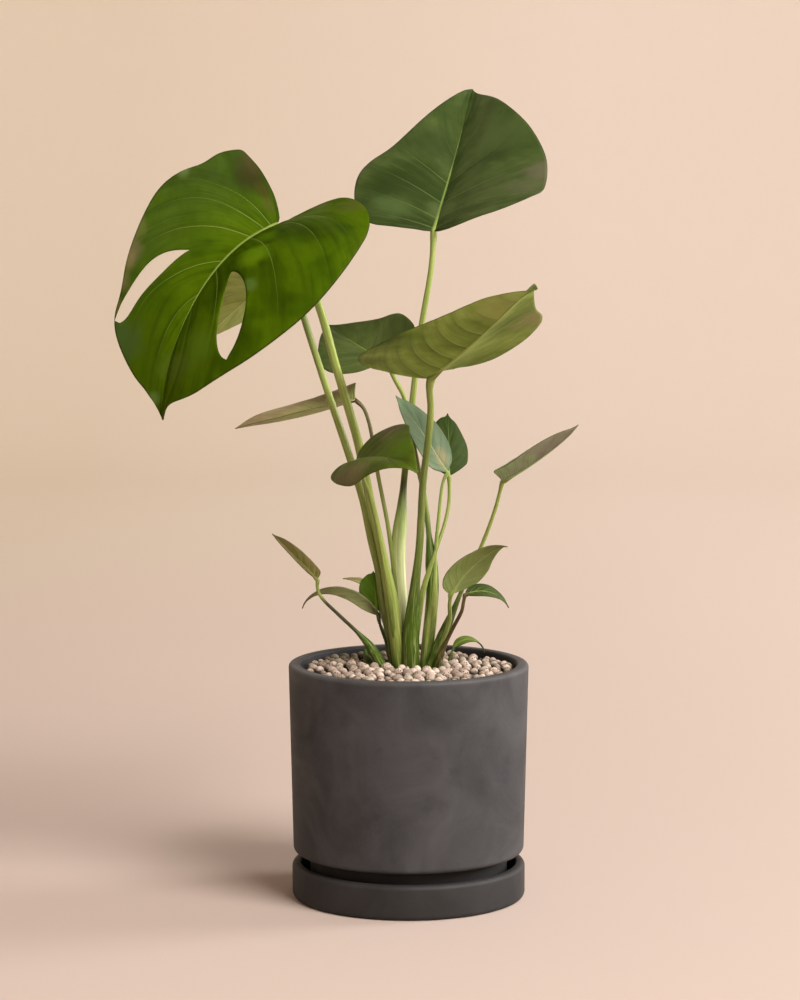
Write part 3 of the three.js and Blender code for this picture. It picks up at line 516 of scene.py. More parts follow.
def halfOutline(leaf, half):
    # one half's margin from the sinus round to the tip, flat
    lobe, wide, shoulder = (leaf[key][half] for key in ("lobes", "widest", "shoulder"))
    if leaf["young"]:
        points = [(0, 0), (0.02 - 0.5 * lobe, 0.24), (0.06 - 0.6 * lobe, 0.52),
                  (0.02 + 0.35 * wide - 0.3 * lobe, 0.78), (0.66 * wide, 0.94)]
    else:
        points = [(0, 0), (-0.55 * lobe, 0.1), (-lobe, 0.38), (-0.72 * lobe, 0.7),
                  (0.4 * wide - 0.25 * lobe, 0.92)]
    points += [(wide, 1), (0.5 * (wide + shoulder), 0.93), (shoulder, 0.7),
               (0.51 + 0.5 * shoulder, 0.37), (0.93, 0.12), (1, 0)]
    return np.array(points) * (leaf["length"], leaf["widths"][half])


def ribStarts(rib):
    # share of the midrib where a rib starts
    first = bladeSettings["ribStart"]
    return np.clip((rib - first) / (1 - first), 0, 1) ** bladeSettings["ribPower"]


def spineCurve(leaf):
    # the midrib's side view: shares of its length, places along and up, and slopes
    bend, droop, back = (math.radians(leaf[key]) for key in ("bend", "droop", "backBend"))
    steps, behind = bladeSettings["spineSteps"], bladeSettings["spineBack"]
    step = (1 + behind) / steps
    shares = -behind + np.arange(steps + 1) * (1 + behind) / steps

    def angleAt(share):
        start = bladeSettings["droopStart"]
        late = np.clip((share - start) / (1 - start), 0, None)
        return np.where(share > 0, -bend * share - droop * late ** 2, back * -share / behind)

    middle = 0.5 * (angleAt(shares) + angleAt(shares + step))[:-1]
    places = []
    for slope in (np.cos(middle), np.sin(middle)):
        place = np.concatenate([[0], np.cumsum(slope)]) * step * leaf["length"]
        places.append(place - np.interp(0, shares, place))
    return shares, *places, angleAt(shares)


def leafSurface(leaf):
    # points of the leaf's middle surface: rib runs round the margin, out from midrib to margin
    shares, along, height, slopes = spineCurve(leaf)
    turn = np.array(Matrix.Rotation(math.radians(leaf["heading"]), 3, "Z")
                    @ Matrix.Rotation(math.radians(-leaf["pitch"]), 3, "Y")
                    @ Matrix.Rotation(math.radians(leaf["roll"]), 3, "X"))
    base, length = np.array(leaf["at"], float), leaf["length"]
    outlines = [halfOutline(leaf, half) for half in (0, 1)]

    def flatPlace(side, rib, out):
        # where a point of the blade lies when the blade is pressed flat, mm
        rib, out = np.broadcast_arrays(np.asarray(rib, float), np.asarray(out, float))
        margin = curveThrough(outlines[0 if side > 0 else 1], np.clip(rib, 0, 1))
        for bulgeSide, place, width, reach in leaf["bulges"]:
            if bulgeSide == side:
                margin[..., 1] += reach * np.exp(-((rib - place) / width) ** 2)
        start = length * ribStarts(rib)
        ahead = margin[..., 0] - start
        sweep = np.clip((rib - bladeSettings["sweepStart"]) / bladeSettings["sweepRamp"], 0, 1)
        sweep = bladeSettings["ribSweep"] * sweep * np.hypot(ahead, margin[..., 1])
        bow = 2 * out * (1 - out)
        flatX = start * (1 - out) ** 2 + bow * (start + ahead / 2 - sweep) + margin[..., 0] * out ** 2
        return flatX, bow * margin[..., 1] / 2 + margin[..., 1] * out ** 2

    def surface(side, rib, out):
        half = 0 if side > 0 else 1
        flatX, flatY = flatPlace(side, rib, out)
        share = flatX / length
        fold = math.radians(leaf["fold"][half])
        curl = (math.radians(leaf["curl"][half]) or 1e-6) / leaf["widths"][half]
        across = side * (np.sin(fold + curl * flatY) - math.sin(fold)) / curl
        phase = leaf["waves"] * rib + (0 if side > 0 else bladeSettings["rightPhase"])
        ripple = leaf["wave"] * np.sin(2 * math.pi * phase) * out ** 2
        raised = (math.cos(fold) - np.cos(fold + curl * flatY)) / curl + ripple
        twist = math.radians(leaf["twist"]) * share
        sway = leaf["sway"] * length * share * np.abs(share)
        y = across * np.cos(twist) - raised * np.sin(twist) + sway
        z = across * np.sin(twist) + raised * np.cos(twist)
        slope = np.interp(share, shares, slopes)
        local = np.stack([np.interp(share, shares, along) - np.sin(slope) * z, y,
                          np.interp(share, shares, height) + np.cos(slope) * z], -1)
        return local @ turn.T + base

    return surface, flatPlace


def ribLines(leaf, side, outs):
    # the rib value of every line across one half at each out; a cut parts the line nearest to it
    first, detail = bladeSettings["firstRib"], leaf["ribDetail"]
    plain = first + (1 - first) * np.arange(leaf["ribs"] * detail + 1) / (leaf["ribs"] * detail)
    cut = next((one for one in leaf["cuts"] if one["side"] == side), None)
    if cut is None:
        return np.repeat(plain[:, None], len(outs), 1), None
    coarse = plain[::detail]
    parted = coarse[np.argmin(np.abs(coarse - cut["ribs"][0]))]
    along = (outs - cut["from"]) / (cut["to"] - cut["from"])
    inside = np.clip(along, 0, 1)
    near = np.clip(outs / cut["from"], 0, 1)
    middle = mixValues(parted, mixValues(*cut["ribs"], inside), near)
    gap = np.where((along > 0) & (along < 1),
                   cut["halfWidth"] * np.sin(math.pi * inside ** cut["skew"]) ** 0.7, 0)
    below = plain[plain <= parted + 1e-9][:, None] * (middle - gap) / parted
    above = 1 - (1 - plain[plain >= parted - 1e-9][:, None]) * (1 - middle - gap) / (1 - parted)
    return np.vstack([below, above]), len(below) - 1


leafAttributes = (
    "veinNumber", "outward", "veinScale", "fromMidrib", "alongMidrib", "ownSide", "upperFace")


def veinPlaces(leaf, side, rib, out, flat, spacing):
    # which side vein each point is at, counted from the base, and the mm from one to the next
    veins = np.array(leaf["veins"][0 if side > 0 else 1])
    gaps = np.gradient(veins)
    shifted = rib - leaf["veinLean"] * out
    if leaf["veinArch"]:
        back, on = leaf["veinArch"]
        away = np.abs(flat[1]) / leaf["widths"][0]
        shifted = flat[0] / leaf["length"] + back * away - on * away ** 2
        spacing = leaf["length"]
    far = 20      # veins that the count runs on for past the first and the last
    longVeins = np.concatenate([[veins[0] - far * gaps[0]], veins, [veins[-1] + far * gaps[-1]]])
    number = np.interp(shifted, longVeins, [-far, *range(len(veins)), len(veins) - 1 + far])
    return number, spacing * gaps[np.clip(np.round(number).astype(int), 0, len(veins) - 1)]


def leafMesh(name, leaf):
    # a closed blade with a raised midrib, sunken veins and quilting between them
    surface, flatPlace = leafSurface(leaf)
    outs = np.linspace(0, 1, leaf["outDetail"] + 1) ** bladeSettings["outPower"]
    points, normals, details, faces, known = [], [], [], [], {}
    for side in (1, -1):
        rib, edge = ribLines(leaf, side, outs)
        out = np.broadcast_to(outs, rib.shape)
        grid = surface(side, rib, out)
        step = bladeSettings["probe"]
        alongRib = (surface(side, np.clip(rib + step, 0, 1), out)
                    - surface(side, np.clip(rib - step, 0, 1), out))
        alongOut = (surface(side, rib, np.clip(out + step, 0, 1))
                    - surface(side, rib, np.clip(out - step, 0, 1)))
        facing = side * np.cross(alongRib, alongOut)
        facing /= np.maximum(np.linalg.norm(facing, axis=-1, keepdims=True), 1e-9)
        spacing = np.linalg.norm(alongRib, axis=-1) / (2 * step)
        number, scale = veinPlaces(leaf, side, rib, out, flatPlace(side, rib, out), spacing)
        lengths = np.linalg.norm(np.diff(grid, axis=1), axis=-1)
        walked = np.concatenate([np.zeros((len(rib), 1)), np.cumsum(lengths, 1)], 1)
        start = ribStarts(rib)
        index = np.zeros(rib.shape, int)
        for i, j in np.ndindex(rib.shape):
            # points that two lines or both halves share are made once
            key = None
            if j == 0:
                key = ("midrib", round(float(start[i, 0]), 6))
            elif rib[i, j] > 1 - 1e-9:
                key = ("tip",)
            elif edge is not None and i in (edge, edge + 1):
                key = (side, j, round(float(rib[i, j]), 7))
            if key in known:
                index[i, j] = known[key]
                normals[index[i, j]] = normals[index[i, j]] + facing[i, j]
                continue
            index[i, j] = len(points)
            points.append(grid[i, j])
            normals.append(facing[i, j])
            details.append((number[i, j], out[i, j], scale[i, j], walked[i, j], start[i, j], side))
            if key is not None:
                known[key] = index[i, j]
        for i, j in np.ndindex(rib.shape[0] - 1, rib.shape[1] - 1):
            corners = [index[i, j], index[i + 1, j], index[i + 1, j + 1], index[i, j + 1]]
            corners = list(dict.fromkeys(corners[::side]))
            if i != edge and len(corners) > 2:
                faces.append(corners)
    points, normals, details = np.array(points), np.array(normals), np.array(details)
    size = np.linalg.norm(normals, axis=1, keepdims=True)
    normals = np.where(size > 1e-6, normals / np.maximum(size, 1e-9), 0)
    # the tip and base points have no face of their own, so they take their neighbours' direction
    for vertex in np.nonzero(np.abs(normals).sum(1) < 0.5)[0]:
        near = np.argsort(np.linalg.norm(points - points[vertex], axis=1))[1:6]
        mean = normals[near].sum(0)
        normals[vertex] = mean / np.linalg.norm(mean)
    number, out, scale, walked, start, side = details.T
    fade = smoothRange(out, 0.02, 0.15) * (1 - 0.75 * smoothRange(out, 0.7, 1.0))
    rounded = np.sqrt(np.clip(np.abs(number - np.round(number)) * 2, 0, 1))
    quilt = leaf["quilt"] * fade * (rounded - 0.6) * np.clip(scale / bladeSettings["fullQuilt"], 0, 1)
    shift = Vector((leaf["length"], 0, 0))
    wander = np.array([noise.noise(Vector(point * bladeSettings["wanderScale"]) + shift)
                       for point in points])
    quilt += leaf["unevenness"] * wander * smoothRange(walked, 2, 25)
    size = leaf["ribWidth"] * (1 - start) ** 0.8
    midrib = size * np.exp(-(walked / np.maximum(size, 0.2)) ** 2)
    half = mixValues(bladeSettings["thickness"], bladeSettings["edgeThickness"],
                     smoothRange(out, 0.9, 1)) / 2
    upper = points + normals * (half + quilt - bladeSettings["midribAbove"] * midrib)[:, None]
    lower = points - normals * (half - quilt + bladeSettings["midribBelow"] * midrib)[:, None]
    count = len(points)
    allFaces = faces + [[corner + count for corner in reversed(face)] for face in faces]
    borders = {}
    for face in faces:
        for a, b in zip(face, face[1:] + face[:1]):
            if (b, a) in borders:
                del borders[(b, a)]
            else:
                borders[(a, b)] = True
    allFaces += [[b, a, a + count, b + count] for a, b in borders]
    mesh = addMesh(name, np.vstack([upper, lower]) * mm, [], allFaces)
    details = np.vstack([details * (1, 1, mm, mm, 1, 1)] * 2)
    values = np.column_stack([details, np.repeat([1.0, 0.0], count)])
    for label, column in zip(leafAttributes, values.T):
        storeLayer(mesh, label, "FLOAT", "value", column)
    mesh.validate()
    mesh.update()
    return mesh


def leafBladeGroup():
    # the two faces of a blade with veins, clouds, streaks and rim, and painted light and shade, all from its
    # own attributes
    tree, given, result = newTree("leaf_blade", "ShaderNodeTree", {
        "Color": leafColours,
        "Float": ("Vein Width", "Midrib Width", "Vein Strength", "Midrib Strength", "Right Shade",
                  "Pucker", "Streaks", "Roughness", "Seed"),
    }, {"Color": ["Color"], "Float": ["Roughness", "Height"]})
    number, outward, veinScale, fromMidrib, along, side, upperFace = (
        attribute(tree, label) for label in leafAttributes)
    aside = ((number + 20.5).reckon("FRACT") - 0.5).reckon("ABSOLUTE")      # from the nearest vein
    beyond = (number + 20.0).reckon("FRACT")                              # from the vein before
    veinHalf = given["Vein Width"] * outward.span(0, 1, 1, 0.25)
    vein = (aside * veinScale / veinHalf).smooth(0.4, 1.5, 1, 0)
    vein = vein * outward.span(0.3, 0.95, 1, 0.1) * along.span(0.2, 0.9, 1, 0.35)
    midribHalf = given["Midrib Width"] * along.span(0, 1, 1, 0.15)
    midrib = (fromMidrib / midribHalf).smooth(0.55, 1.25, 1, 0)
    place = ownPlace(tree).vector("ADD", {1: joined(tree, X=given["Seed"])})
    cloud = place.noise(17, 3, Distortion=0.5)
    mottle = place.noise(95, 4)
    streak = joined(tree, X=number * 5, Y=outward * 1.6, Z=side * 9 + given["Seed"]).noise(
        1, 4, Roughness=0.6)      # runs with the veins
    # painted light and shade of the puckers, fading towards the margin
    pucker = outward.span(0.3, 0.9, 1, 0.1) * given["Pucker"]
    # painted shade on the leaf's own right half, growing towards its margin
    paintedShadeOnRight = (side < 0) * outward.span(0.12, 0.6)
    colour = mix(upperFace, given["Under"], given["Upper"])
    for share, other in (
            (cloud.span(0.42, 0.7, 0, 0.75), "Light"),
            (cloud.span(0.5, 0.28, 0, 0.75), "Dark"),
            (streak.span(0.52, 0.3) * given["Streaks"], "Dark"),
            (streak.span(0.55, 0.78) * given["Streaks"], "Light"),
            (mottle.span(0.45, 0.7, 0, 0.18), "Dark"),
            # painted light and shade of the puckers: pale past each vein and shaded before the next one
            (beyond.span(0, 0.4, 0.8, 0) * pucker, "Light"),
            (beyond.span(0.45, 0.97) * pucker, "Dark"),
            # painted shade beside each side vein, where it sinks into the blade
            (aside.span(0, 0.2, 0.22, 0), "Dark"),
            # painted shade of the leaf's own right half
            (paintedShadeOnRight * given["Right Shade"], "Dark"),
            (vein * given["Vein Strength"], "Vein"),
            (midrib * given["Midrib Strength"], "Vein"),
            (outward.span(0.985, 0.997, 0, 0.8), "Rim")):
        colour = mix(share, colour, given[other])
    # lines sink into the upper face and stand out below, with a fine net between them
    lines = (vein * 0.8).reckon("MAXIMUM", midrib) * upperFace.span(0, 1, 0.5, -0.5)
    setInputs(result, {
        "Color": colour,
        "Roughness": (given["Roughness"] + mottle.span(0.3, 0.7, -0.05, 0.07)
                      + upperFace.span(0, 1, 0.16, 0)),
        "Height": lines + streak * 0.35 + place.cells(420)["Distance"] * 0.06})
    return tree


def softSpotGroup():
    # a soft round spot at a place in the piece's own space
    tree, given, result = newTree("soft_spot", "ShaderNodeTree", {
        "Vector": ["Place"], "Float": ["Radius"]}, {"Float": ["Mask"]})
    place = ownPlace(tree)
    share = place.vector("DISTANCE", {1: given["Place"]}, "Value") / given["Radius"]
    share = share + (place.noise(60, 3) - 0.5) * 0.9
    setInputs(result, {"Mask": share.smooth(0.25, 1.1, 1, 0)})
    return tree


leafBlade = leafBladeGroup()
softSpot = softSpotGroup()


def spotted(colour, place, radius, spotColour, share):
    mask = addNode(colour.tree, "ShaderNodeGroup", {
        "Place": [part * mm for part in place], "Radius": radius * mm}, node_tree=softSpot)["Mask"]
    return mix(mask * share, colour, srgb(*spotColour))


def leafMaterial(name, leaf):
    material, tree, shader = newMaterial(name)
    blade = addNode(tree, "ShaderNodeGroup", {
        **{label: srgb(*colour) for label, colour in zip(leafColours, leaf["colours"])},
        "Vein Width": leaf["veinWidth"] * mm, "Midrib Width": leaf["ribWidth"] * 0.9 * mm,
        "Vein Strength": leaf["veinStrength"], "Midrib Strength": leaf["midribStrength"],
        "Right Shade": leaf["rightShade"], "Pucker": leaf["pucker"], "Streaks": leaf["streaks"],
        "Roughness": leaf["roughness"], "Seed": leaf["length"] * 0.37}, node_tree=leafBlade)
    colour = blade["Color"]
    for patch in leaf["patches"]:
        colour = spotted(colour, *patch)
    setInputs(shader, {
        "Base Color": colour, "Roughness": blade["Roughness"],
        "Normal": blade["Height"].bump(0.6, 0.001),
        "Specular IOR Level": leaf["specular"], "Specular Tint": leaf["sheenTint"]})
    return material


faceCount = 0
for name, leaf in leaves.items():
    blade = addObject(name + "_blade", leafMesh(name + "_blade", leaf))
    blade.data.materials.append(leafMaterial(name + "_flesh", leaf))
    keepPiece(blade, name)
    faceCount += len(blade.data.polygons)
print("leaves made:", faceCount, "faces")


# Stalks. Lengths are in mm. 'path' runs upwards from the crown, 'foot' is the sheath's radius and
# 'neck' the radius at the leaf; 'sheath' gives the shares of the length where the sheath narrows,
# and 'colours' the colour at shares of the length.
stalkColours = {
    "pale": srgb(150, 170, 92), "cream": srgb(208, 214, 156), "fresh": srgb(144, 160, 76),
    "stalk": srgb(138, 152, 70), "olive": srgb(104, 118, 52), "deep": srgb(64, 90, 4),
    "dark": srgb(62, 74, 22), "brown": srgb(84, 66, 38), "dusk": srgb(54, 50, 26),
}
stalkSettings = {
    "neckTaper": 1.35, "flare": 0.35, "flareStart": 0.95, "steps": 90, "sides": 28,
    "grooveDepth": 0.22, "grooveWidth": 0.42, "grooveTurn": 2.1, "unevenness": 0.0003,
    "endGap": 0.75,                                # from the leaf's middle surface
    "tailShares": (0.03, 0.07, 0.12, 0.18),        # how far the tail runs on along the midrib
    "tailGirths": (1.0, 0.7, 0.42, 0.2), "tailDrop": 0.6,
}
stalkShapes = {
    "stems_main": [
        {"leaf": "leaf_large_cut", "foot": 5.8, "neck": 3.1, "sheath": [0.12, 0.27],
         "colours": {0: "deep", 0.08: "stalk", 0.2: "fresh", 0.42: "stalk", 0.7: "fresh", 1: "fresh"},
         "path": [[-7, 10, 187], [-10, 8, 215], [-13, 5, 240], [-19, -1, 274], [-32, -14, 335],
                  [-41, -25, 381], [-59, -39, 446], [-73, -49, 497], [-92, -56, 540]]},
        {"leaf": "leaf_behind_large", "foot": 4.2, "neck": 2.7, "sheath": [0.1, 0.25],
         "colours": {0: "dark", 0.2: "olive", 0.4: "stalk", 0.7: "stalk", 0.9: "olive", 1: "dark"},
         "path": [[-10, 12, 187], [-15, 12, 215], [-21, 8, 243], [-25, 2, 274], [-31, -2, 300],
                  [-38, -5, 334], [-49, -6, 370], [-65, -5, 418], [-86, -1, 483]]},
        {"leaf": "leaf_front_folded", "foot": 2.6, "neck": 1.6, "sheath": [0.2, 0.4],
         "colours": {0: "deep", 0.4: "stalk", 1: "stalk"},
         "path": [[-10, 7, 205], [-17, -3, 258], [-29, -24, 328], [-38, -40, 358]]},
        {"leaf": "leaf_left_long", "foot": 3, "neck": 1.5, "sheath": [0.1, 0.3],
         "colours": {0: "dark", 0.5: "stalk", 1: "brown"},
         "path": [[-7, 13, 190], [-11, 17, 256], [-17, 25, 306], [-26, 33, 352], [-33, 38, 393],
                  [-38, 41, 406]]},
        {"leaf": "leaf_top_back", "foot": 6.3, "neck": 2.3, "sheath": [0.3, 0.43],
         # the cream is partly the sheath's own pale colour and partly painted light where the stalks in front
         # shade it; the dark at 0.42 is a painted shadow where leaf_front_folded hangs above it
         "colours": {0: "pale", 0.06: "cream", 0.22: "cream", 0.34: "pale", 0.42: "dark",
                     0.47: "stalk", 1: "fresh"},
         "path": [[-4, 15, 187], [-7, 20, 238], [-9, 27, 288], [-6, 32, 321], [-3, 36, 354],
                  [3, 38, 410], [10, 39, 470], [19, 44, 524]]},
        {"leaf": "leaf_middle", "foot": 7.3, "neck": 2.7, "sheath": [0.06, 0.4],
         "colours": {0: "dark", 0.1: "deep", 0.25: "deep", 0.5: "olive", 0.75: "olive",
                     0.9: "stalk", 1: "stalk"},
         "path": [[2, 6, 187], [2, 4, 219], [5, -1, 258], [9, -6, 296], [12, -12, 351],
                  [16, -16, 384], [18, -18, 411], [17, -20, 428]]},
        {"leaf": "leaf_behind_middle", "foot": 5.3, "neck": 1.9, "sheath": [0.33, 0.45],
         "colours": {0: "deep", 0.15: "stalk", 0.27: "deep", 0.4: "deep", 0.6: "stalk", 1: "stalk"},
         "path": [[14, 13, 187], [16, 14, 209], [20, 16, 255], [19, 17, 279], [13, 25, 334],
                  [6, 27, 366], [-3, 29, 414], [-12, 30, 432]]},
        {"leaf": "leaf_pale_centre", "foot": 3.6, "neck": 1.4, "sheath": [0.3, 0.6],
         "colours": {0: "deep", 0.4: "stalk", 1: "pale"},
         "path": [[15, 12, 190], [20, 14, 230], [22, 15, 281], [25, 18, 314], [29, 20, 346]]},
        {"leaf": "leaf_dark_centre", "foot": 2.6, "neck": 1.4, "sheath": [0.3, 0.6],
         "colours": {0: "deep", 0.4: "stalk", 1: "stalk"},
         "path": [[4, 10, 197], [9, 8, 238], [12, 8, 256], [20, 13, 281], [31, 25, 313],
                  [34, 31, 329]]},
        {"leaf": "leaf_right_folded", "foot": 4.8, "neck": 1.5, "sheath": [0.16, 0.42],
         "colours": {0: "deep", 0.35: "deep", 0.5: "stalk", 1: "stalk"},
         "path": [[17, 8, 187], [25, 8, 209], [37, 8, 238], [48, 7, 265], [61, 3, 295],
                  [72, 0, 326]]},
        {"leaf": "leaf_low_right", "foot": 2.6, "neck": 1.6, "sheath": [0.1, 0.5],
         "colours": {0: "stalk", 0.5: "pale", 1: "stalk"},
         "path": [[20, 8, 190], [27, 5, 210], [34, -4, 233], [34, -11, 246]]},
        {"leaf": "leaf_low_right_arched", "foot": 3.2, "neck": 1.4, "sheath": [0.15, 0.45],
         "colours": {0: "dark", 0.4: "brown", 1: "brown"},
         "path": [[22, 5, 187], [28, -2, 207], [36, -12, 226], [44, -22, 244], [45, -23, 250]]},
        {"leaf": "leaf_left_arched", "foot": 2, "neck": 1.1, "sheath": [0.2, 0.5],
         "colours": {0: "dark", 1: "dark"}, "path": [[-14, 15, 190], [-19, 17, 211], [-24, 19, 226]]},
        {"leaf": "leaf_round_small", "foot": 2, "neck": 1.1, "sheath": [0.2, 0.5],
         "colours": {0: "dark", 1: "deep"}, "path": [[-13, 18, 190], [-18, 27, 212], [-25, 32, 226]]},
        {"leaf": "leaf_tiny_left", "foot": 1.6, "neck": 0.9, "sheath": [0.2, 0.5],
         "colours": {0: "dark", 1: "stalk"}, "path": [[-12, 19, 190], [-18, 34, 215], [-29, 45, 246]]},
    ],
    "stem_left": [
        {"leaf": "leaf_low_left", "foot": 4.2, "neck": 1.3, "sheath": [0.18, 0.45],
         "colours": {0: "deep", 0.38: "deep", 0.46: "dusk", 0.78: "dusk", 0.88: "stalk", 1: "stalk"},
         "path": [[-20, 12, 187], [-32, 10, 208], [-43, 7, 221], [-58, 3, 236], [-73, 0, 252],
                  [-76, 0, 260]]},
        {"foot": 2.4, "neck": 0.8, "sheath": [0.3, 0.9], "colours": {0: "brown", 1: "brown"},
         "path": [[-22, 16, 190], [-33, 20, 211]]},
        {"foot": 4, "neck": 1.4, "sheath": [0.5, 1], "colours": {0: "dark", 1: "deep"},
         "path": [[-25, 15, 184], [-33, 20, 192], [-37, 25, 203]]},
    ],
    "stem_back": [
        {"leaf": "leaf_gravel_arched", "foot": 1.8, "neck": 1.1, "sheath": [0.2, 0.6],
         "colours": {0: "dark", 1: "deep"}, "path": [[32, 36, 184], [36, 38, 197]]},
    ],
}


def centripetalCurve(points, count):
    # evenly spaced points of a centripetal Catmull-Rom curve
    padded = withEnds(points)
    fine = []
    for i in range(len(points) - 1):
        p0, p1, p2, p3 = padded[i:i + 4]
        d0, d1, d2 = (max(np.linalg.norm(b - a), 1e-4) ** 0.5 for a, b in ((p0, p1), (p1, p2), (p2, p3)))
        startSlope = ((p1 - p0) / d0 - (p2 - p0) / (d0 + d1) + (p2 - p1) / d1) * d1
        endSlope = ((p2 - p1) / d1 - (p3 - p1) / (d1 + d2) + (p3 - p2) / d2) * d1
        t = np.linspace(0, 1, 60, endpoint=i == len(points) - 2)[:, None]
        fine.append(hermite(t, p1, p2, startSlope, endSlope))
    fine = np.vstack(fine)
    walked = np.concatenate([[0], np.cumsum(np.linalg.norm(np.diff(fine, axis=0), axis=1))])
    even = np.linspace(0, walked[-1], count)
    return np.stack([np.interp(even, walked, fine[:, axis]) for axis in range(3)], 1)


def stalkEnd(leaf, surface):
    # where a stalk runs into its leaf, under the blade or behind it where the leaf stands in line
    origin = np.array(leaf["at"], float)
    ahead = surface(1, 0.6, 0.0) - origin
    ahead /= np.linalg.norm(ahead)
    left = surface(1, 0.4, 0.3) - surface(-1, 0.4, 0.3)
    up = np.cross(ahead, left / np.linalg.norm(left))
    up /= np.linalg.norm(up)
    return origin - stalkSettings["endGap"] * (ahead if leaf["young"] else up), up


def stalkLine(stalk, settings):
    # points, radii and colours along one stalk, which runs on under the blade as a taper
    points, tail = [np.array(point, float) for point in stalk["path"]], []
    if "leaf" in stalk:
        leaf = leaves[stalk["leaf"]]
        surface = leafSurface(leaf)[0]
        end, up = stalkEnd(leaf, surface)
        points.append(end)
        first = bladeSettings["ribStart"]
        for share in settings["tailShares"]:
            rib = first + (1 - first) * share ** (1 / bladeSettings["ribPower"])
            tail.append(surface(1, rib, 0.0) - settings["tailDrop"] * up * (1 - share))
    line = centripetalCurve(np.array(points), settings["steps"])
    share = np.linspace(0, 1, settings["steps"])
    widened = 1 - smoothRange(share, *stalk["sheath"])
    plain = stalk["neck"] * mixValues(settings["neckTaper"], 1, share)
    plain = plain * (1 + settings["flare"] * smoothRange(share, settings["flareStart"], 1.0))
    girth = plain + (stalk["foot"] - plain) * widened
    if tail:
        line = np.vstack([line, tail])
        girth = np.concatenate([girth, stalk["neck"] * np.array(settings["tailGirths"])])
        share = np.concatenate([share, np.ones(len(tail))])
        widened = np.concatenate([widened, np.zeros(len(tail))])
    stops = list(stalk["colours"])
    colours = np.array([stalkColours[colour] for colour in stalk["colours"].values()])
    tint = np.stack([np.interp(share, stops, colours[:, part]) for part in range(4)], 1)
    return line, girth, share, widened, tint


def lineMesh(name, stalks, settings):
    # one line of vertices for each stalk, with what the tree needs stored on them
    points, edges, layers = [], [], {
        "girth": [], "along": [], "sheath": [], "strand": [], "tint": [], "grooveSide": []}
    for number, stalk in enumerate(stalks):
        line, girth, share, widened, tint = stalkLine(stalk, settings)
        edges += [(len(points) + i, len(points) + i + 1) for i in range(len(line) - 1)]
        points += list(line * mm)
        turn = settings["grooveTurn"] * number
        for label, values in zip(layers, (
                girth * mm, share, widened, [float(number)] * len(line), tint,
                [(math.cos(turn), math.sin(turn), 0.0)] * len(line))):
            layers[label] += list(values)
    mesh = addMesh(name, points, edges, [])
    for label in ("girth", "along", "sheath", "strand"):
        storeLayer(mesh, label, "FLOAT", "value", layers[label])
    storeLayer(mesh, "tint", "FLOAT_COLOR", "color", layers["tint"])
    storeLayer(mesh, "grooveSide", "FLOAT_VECTOR", "vector", layers["grooveSide"])
    return mesh


def stored(tree, name, **settings):
    return addNode(tree, "GeometryNodeInputNamedAttribute", {"Name": name}, **settings)["Attribute"]


def through(geometry, kind, values=None):
    # the geometry after one more Geometry Nodes step
    return addNode(geometry.tree, "GeometryNode" + kind, {"Geometry": geometry, **(values or {})})[
        "Geometry"]


def pushed(geometry, push):
    # every point moved along its normal
    normal = addNode(geometry.tree, "GeometryNodeInputNormal")["Normal"]
    return through(geometry, "SetPosition", {"Offset": normal.vector("SCALE", {"Scale": push})})


def stalkTree():
    # Geometry Nodes: a tube along each line, with a groove down its sheath
    tree, given, result = newTree("grow_stalks", "GeometryNodeTree", {
        "Geometry": ["Lines"], "Int": ["Sides"],
        "Float": ["Groove Depth", "Groove Width", "Unevenness"], "Material": ["Material"],
    }, {"Geometry": ["Geometry"]})
    place = addNode(tree, "GeometryNodeInputPosition")["Position"]
    curve = addNode(tree, "GeometryNodeMeshToCurve", {"Mesh": given["Lines"]})["Curve"]
    ring = addNode(tree, "GeometryNodeCurvePrimitiveCircle", {
        "Resolution": given["Sides"], "Radius": 1.0})["Curve"]
    ring = addNode(tree, "GeometryNodeStoreNamedAttribute", {
        "Geometry": ring, "Name": "section", "Value": place}, data_type="FLOAT_VECTOR")["Geometry"]
    girth = stored(tree, "girth")
    tube = addNode(tree, "GeometryNodeCurveToMesh", {
        "Curve": curve, "Profile Curve": ring, "Scale": girth, "Fill Caps": True})["Mesh"]
    # the groove: points on one side of the section move inwards, where the sheath is
    section = stored(tree, "section", data_type="FLOAT_VECTOR")
    side = stored(tree, "grooveSide", data_type="FLOAT_VECTOR")
    low = given["Groove Width"] * -1 + 1
    inGroove = section.vector("DOT_PRODUCT", {1: side}, "Value").smooth(low, 1)
    depth = inGroove * stored(tree, "sheath") * (girth * given["Groove Depth"])
    bumps = (place.noise(90, 2) - 0.5) * given["Unevenness"]
    tube = through(pushed(tube, bumps - depth), "SetShadeSmooth")
    tube = through(through(tube, "RealizeInstances"), "SetMaterial", {"Material": given["Material"]})
    setInputs(result, {"Geometry": tube})
    return tree


def applyTree(piece, tree, inputs):
    # runs a tree on a piece, with its inputs set by identifier, and keeps the result as a plain mesh
    modifier = piece.modifiers.new(tree.name, "NODES")
    modifier.node_group = tree
    for socket in tree.interface.items_tree:
        if socket.item_type == "SOCKET" and socket.in_out == "INPUT" and socket.name in inputs:
            modifier[socket.identifier] = inputs[socket.name]
    bpy.context.view_layer.update()
    evaluated = piece.evaluated_get(bpy.context.evaluated_depsgraph_get())
    mesh = bpy.data.meshes.new_from_object(evaluated)
    mesh.name = piece.name
    piece.modifiers.clear()
    piece.data = mesh


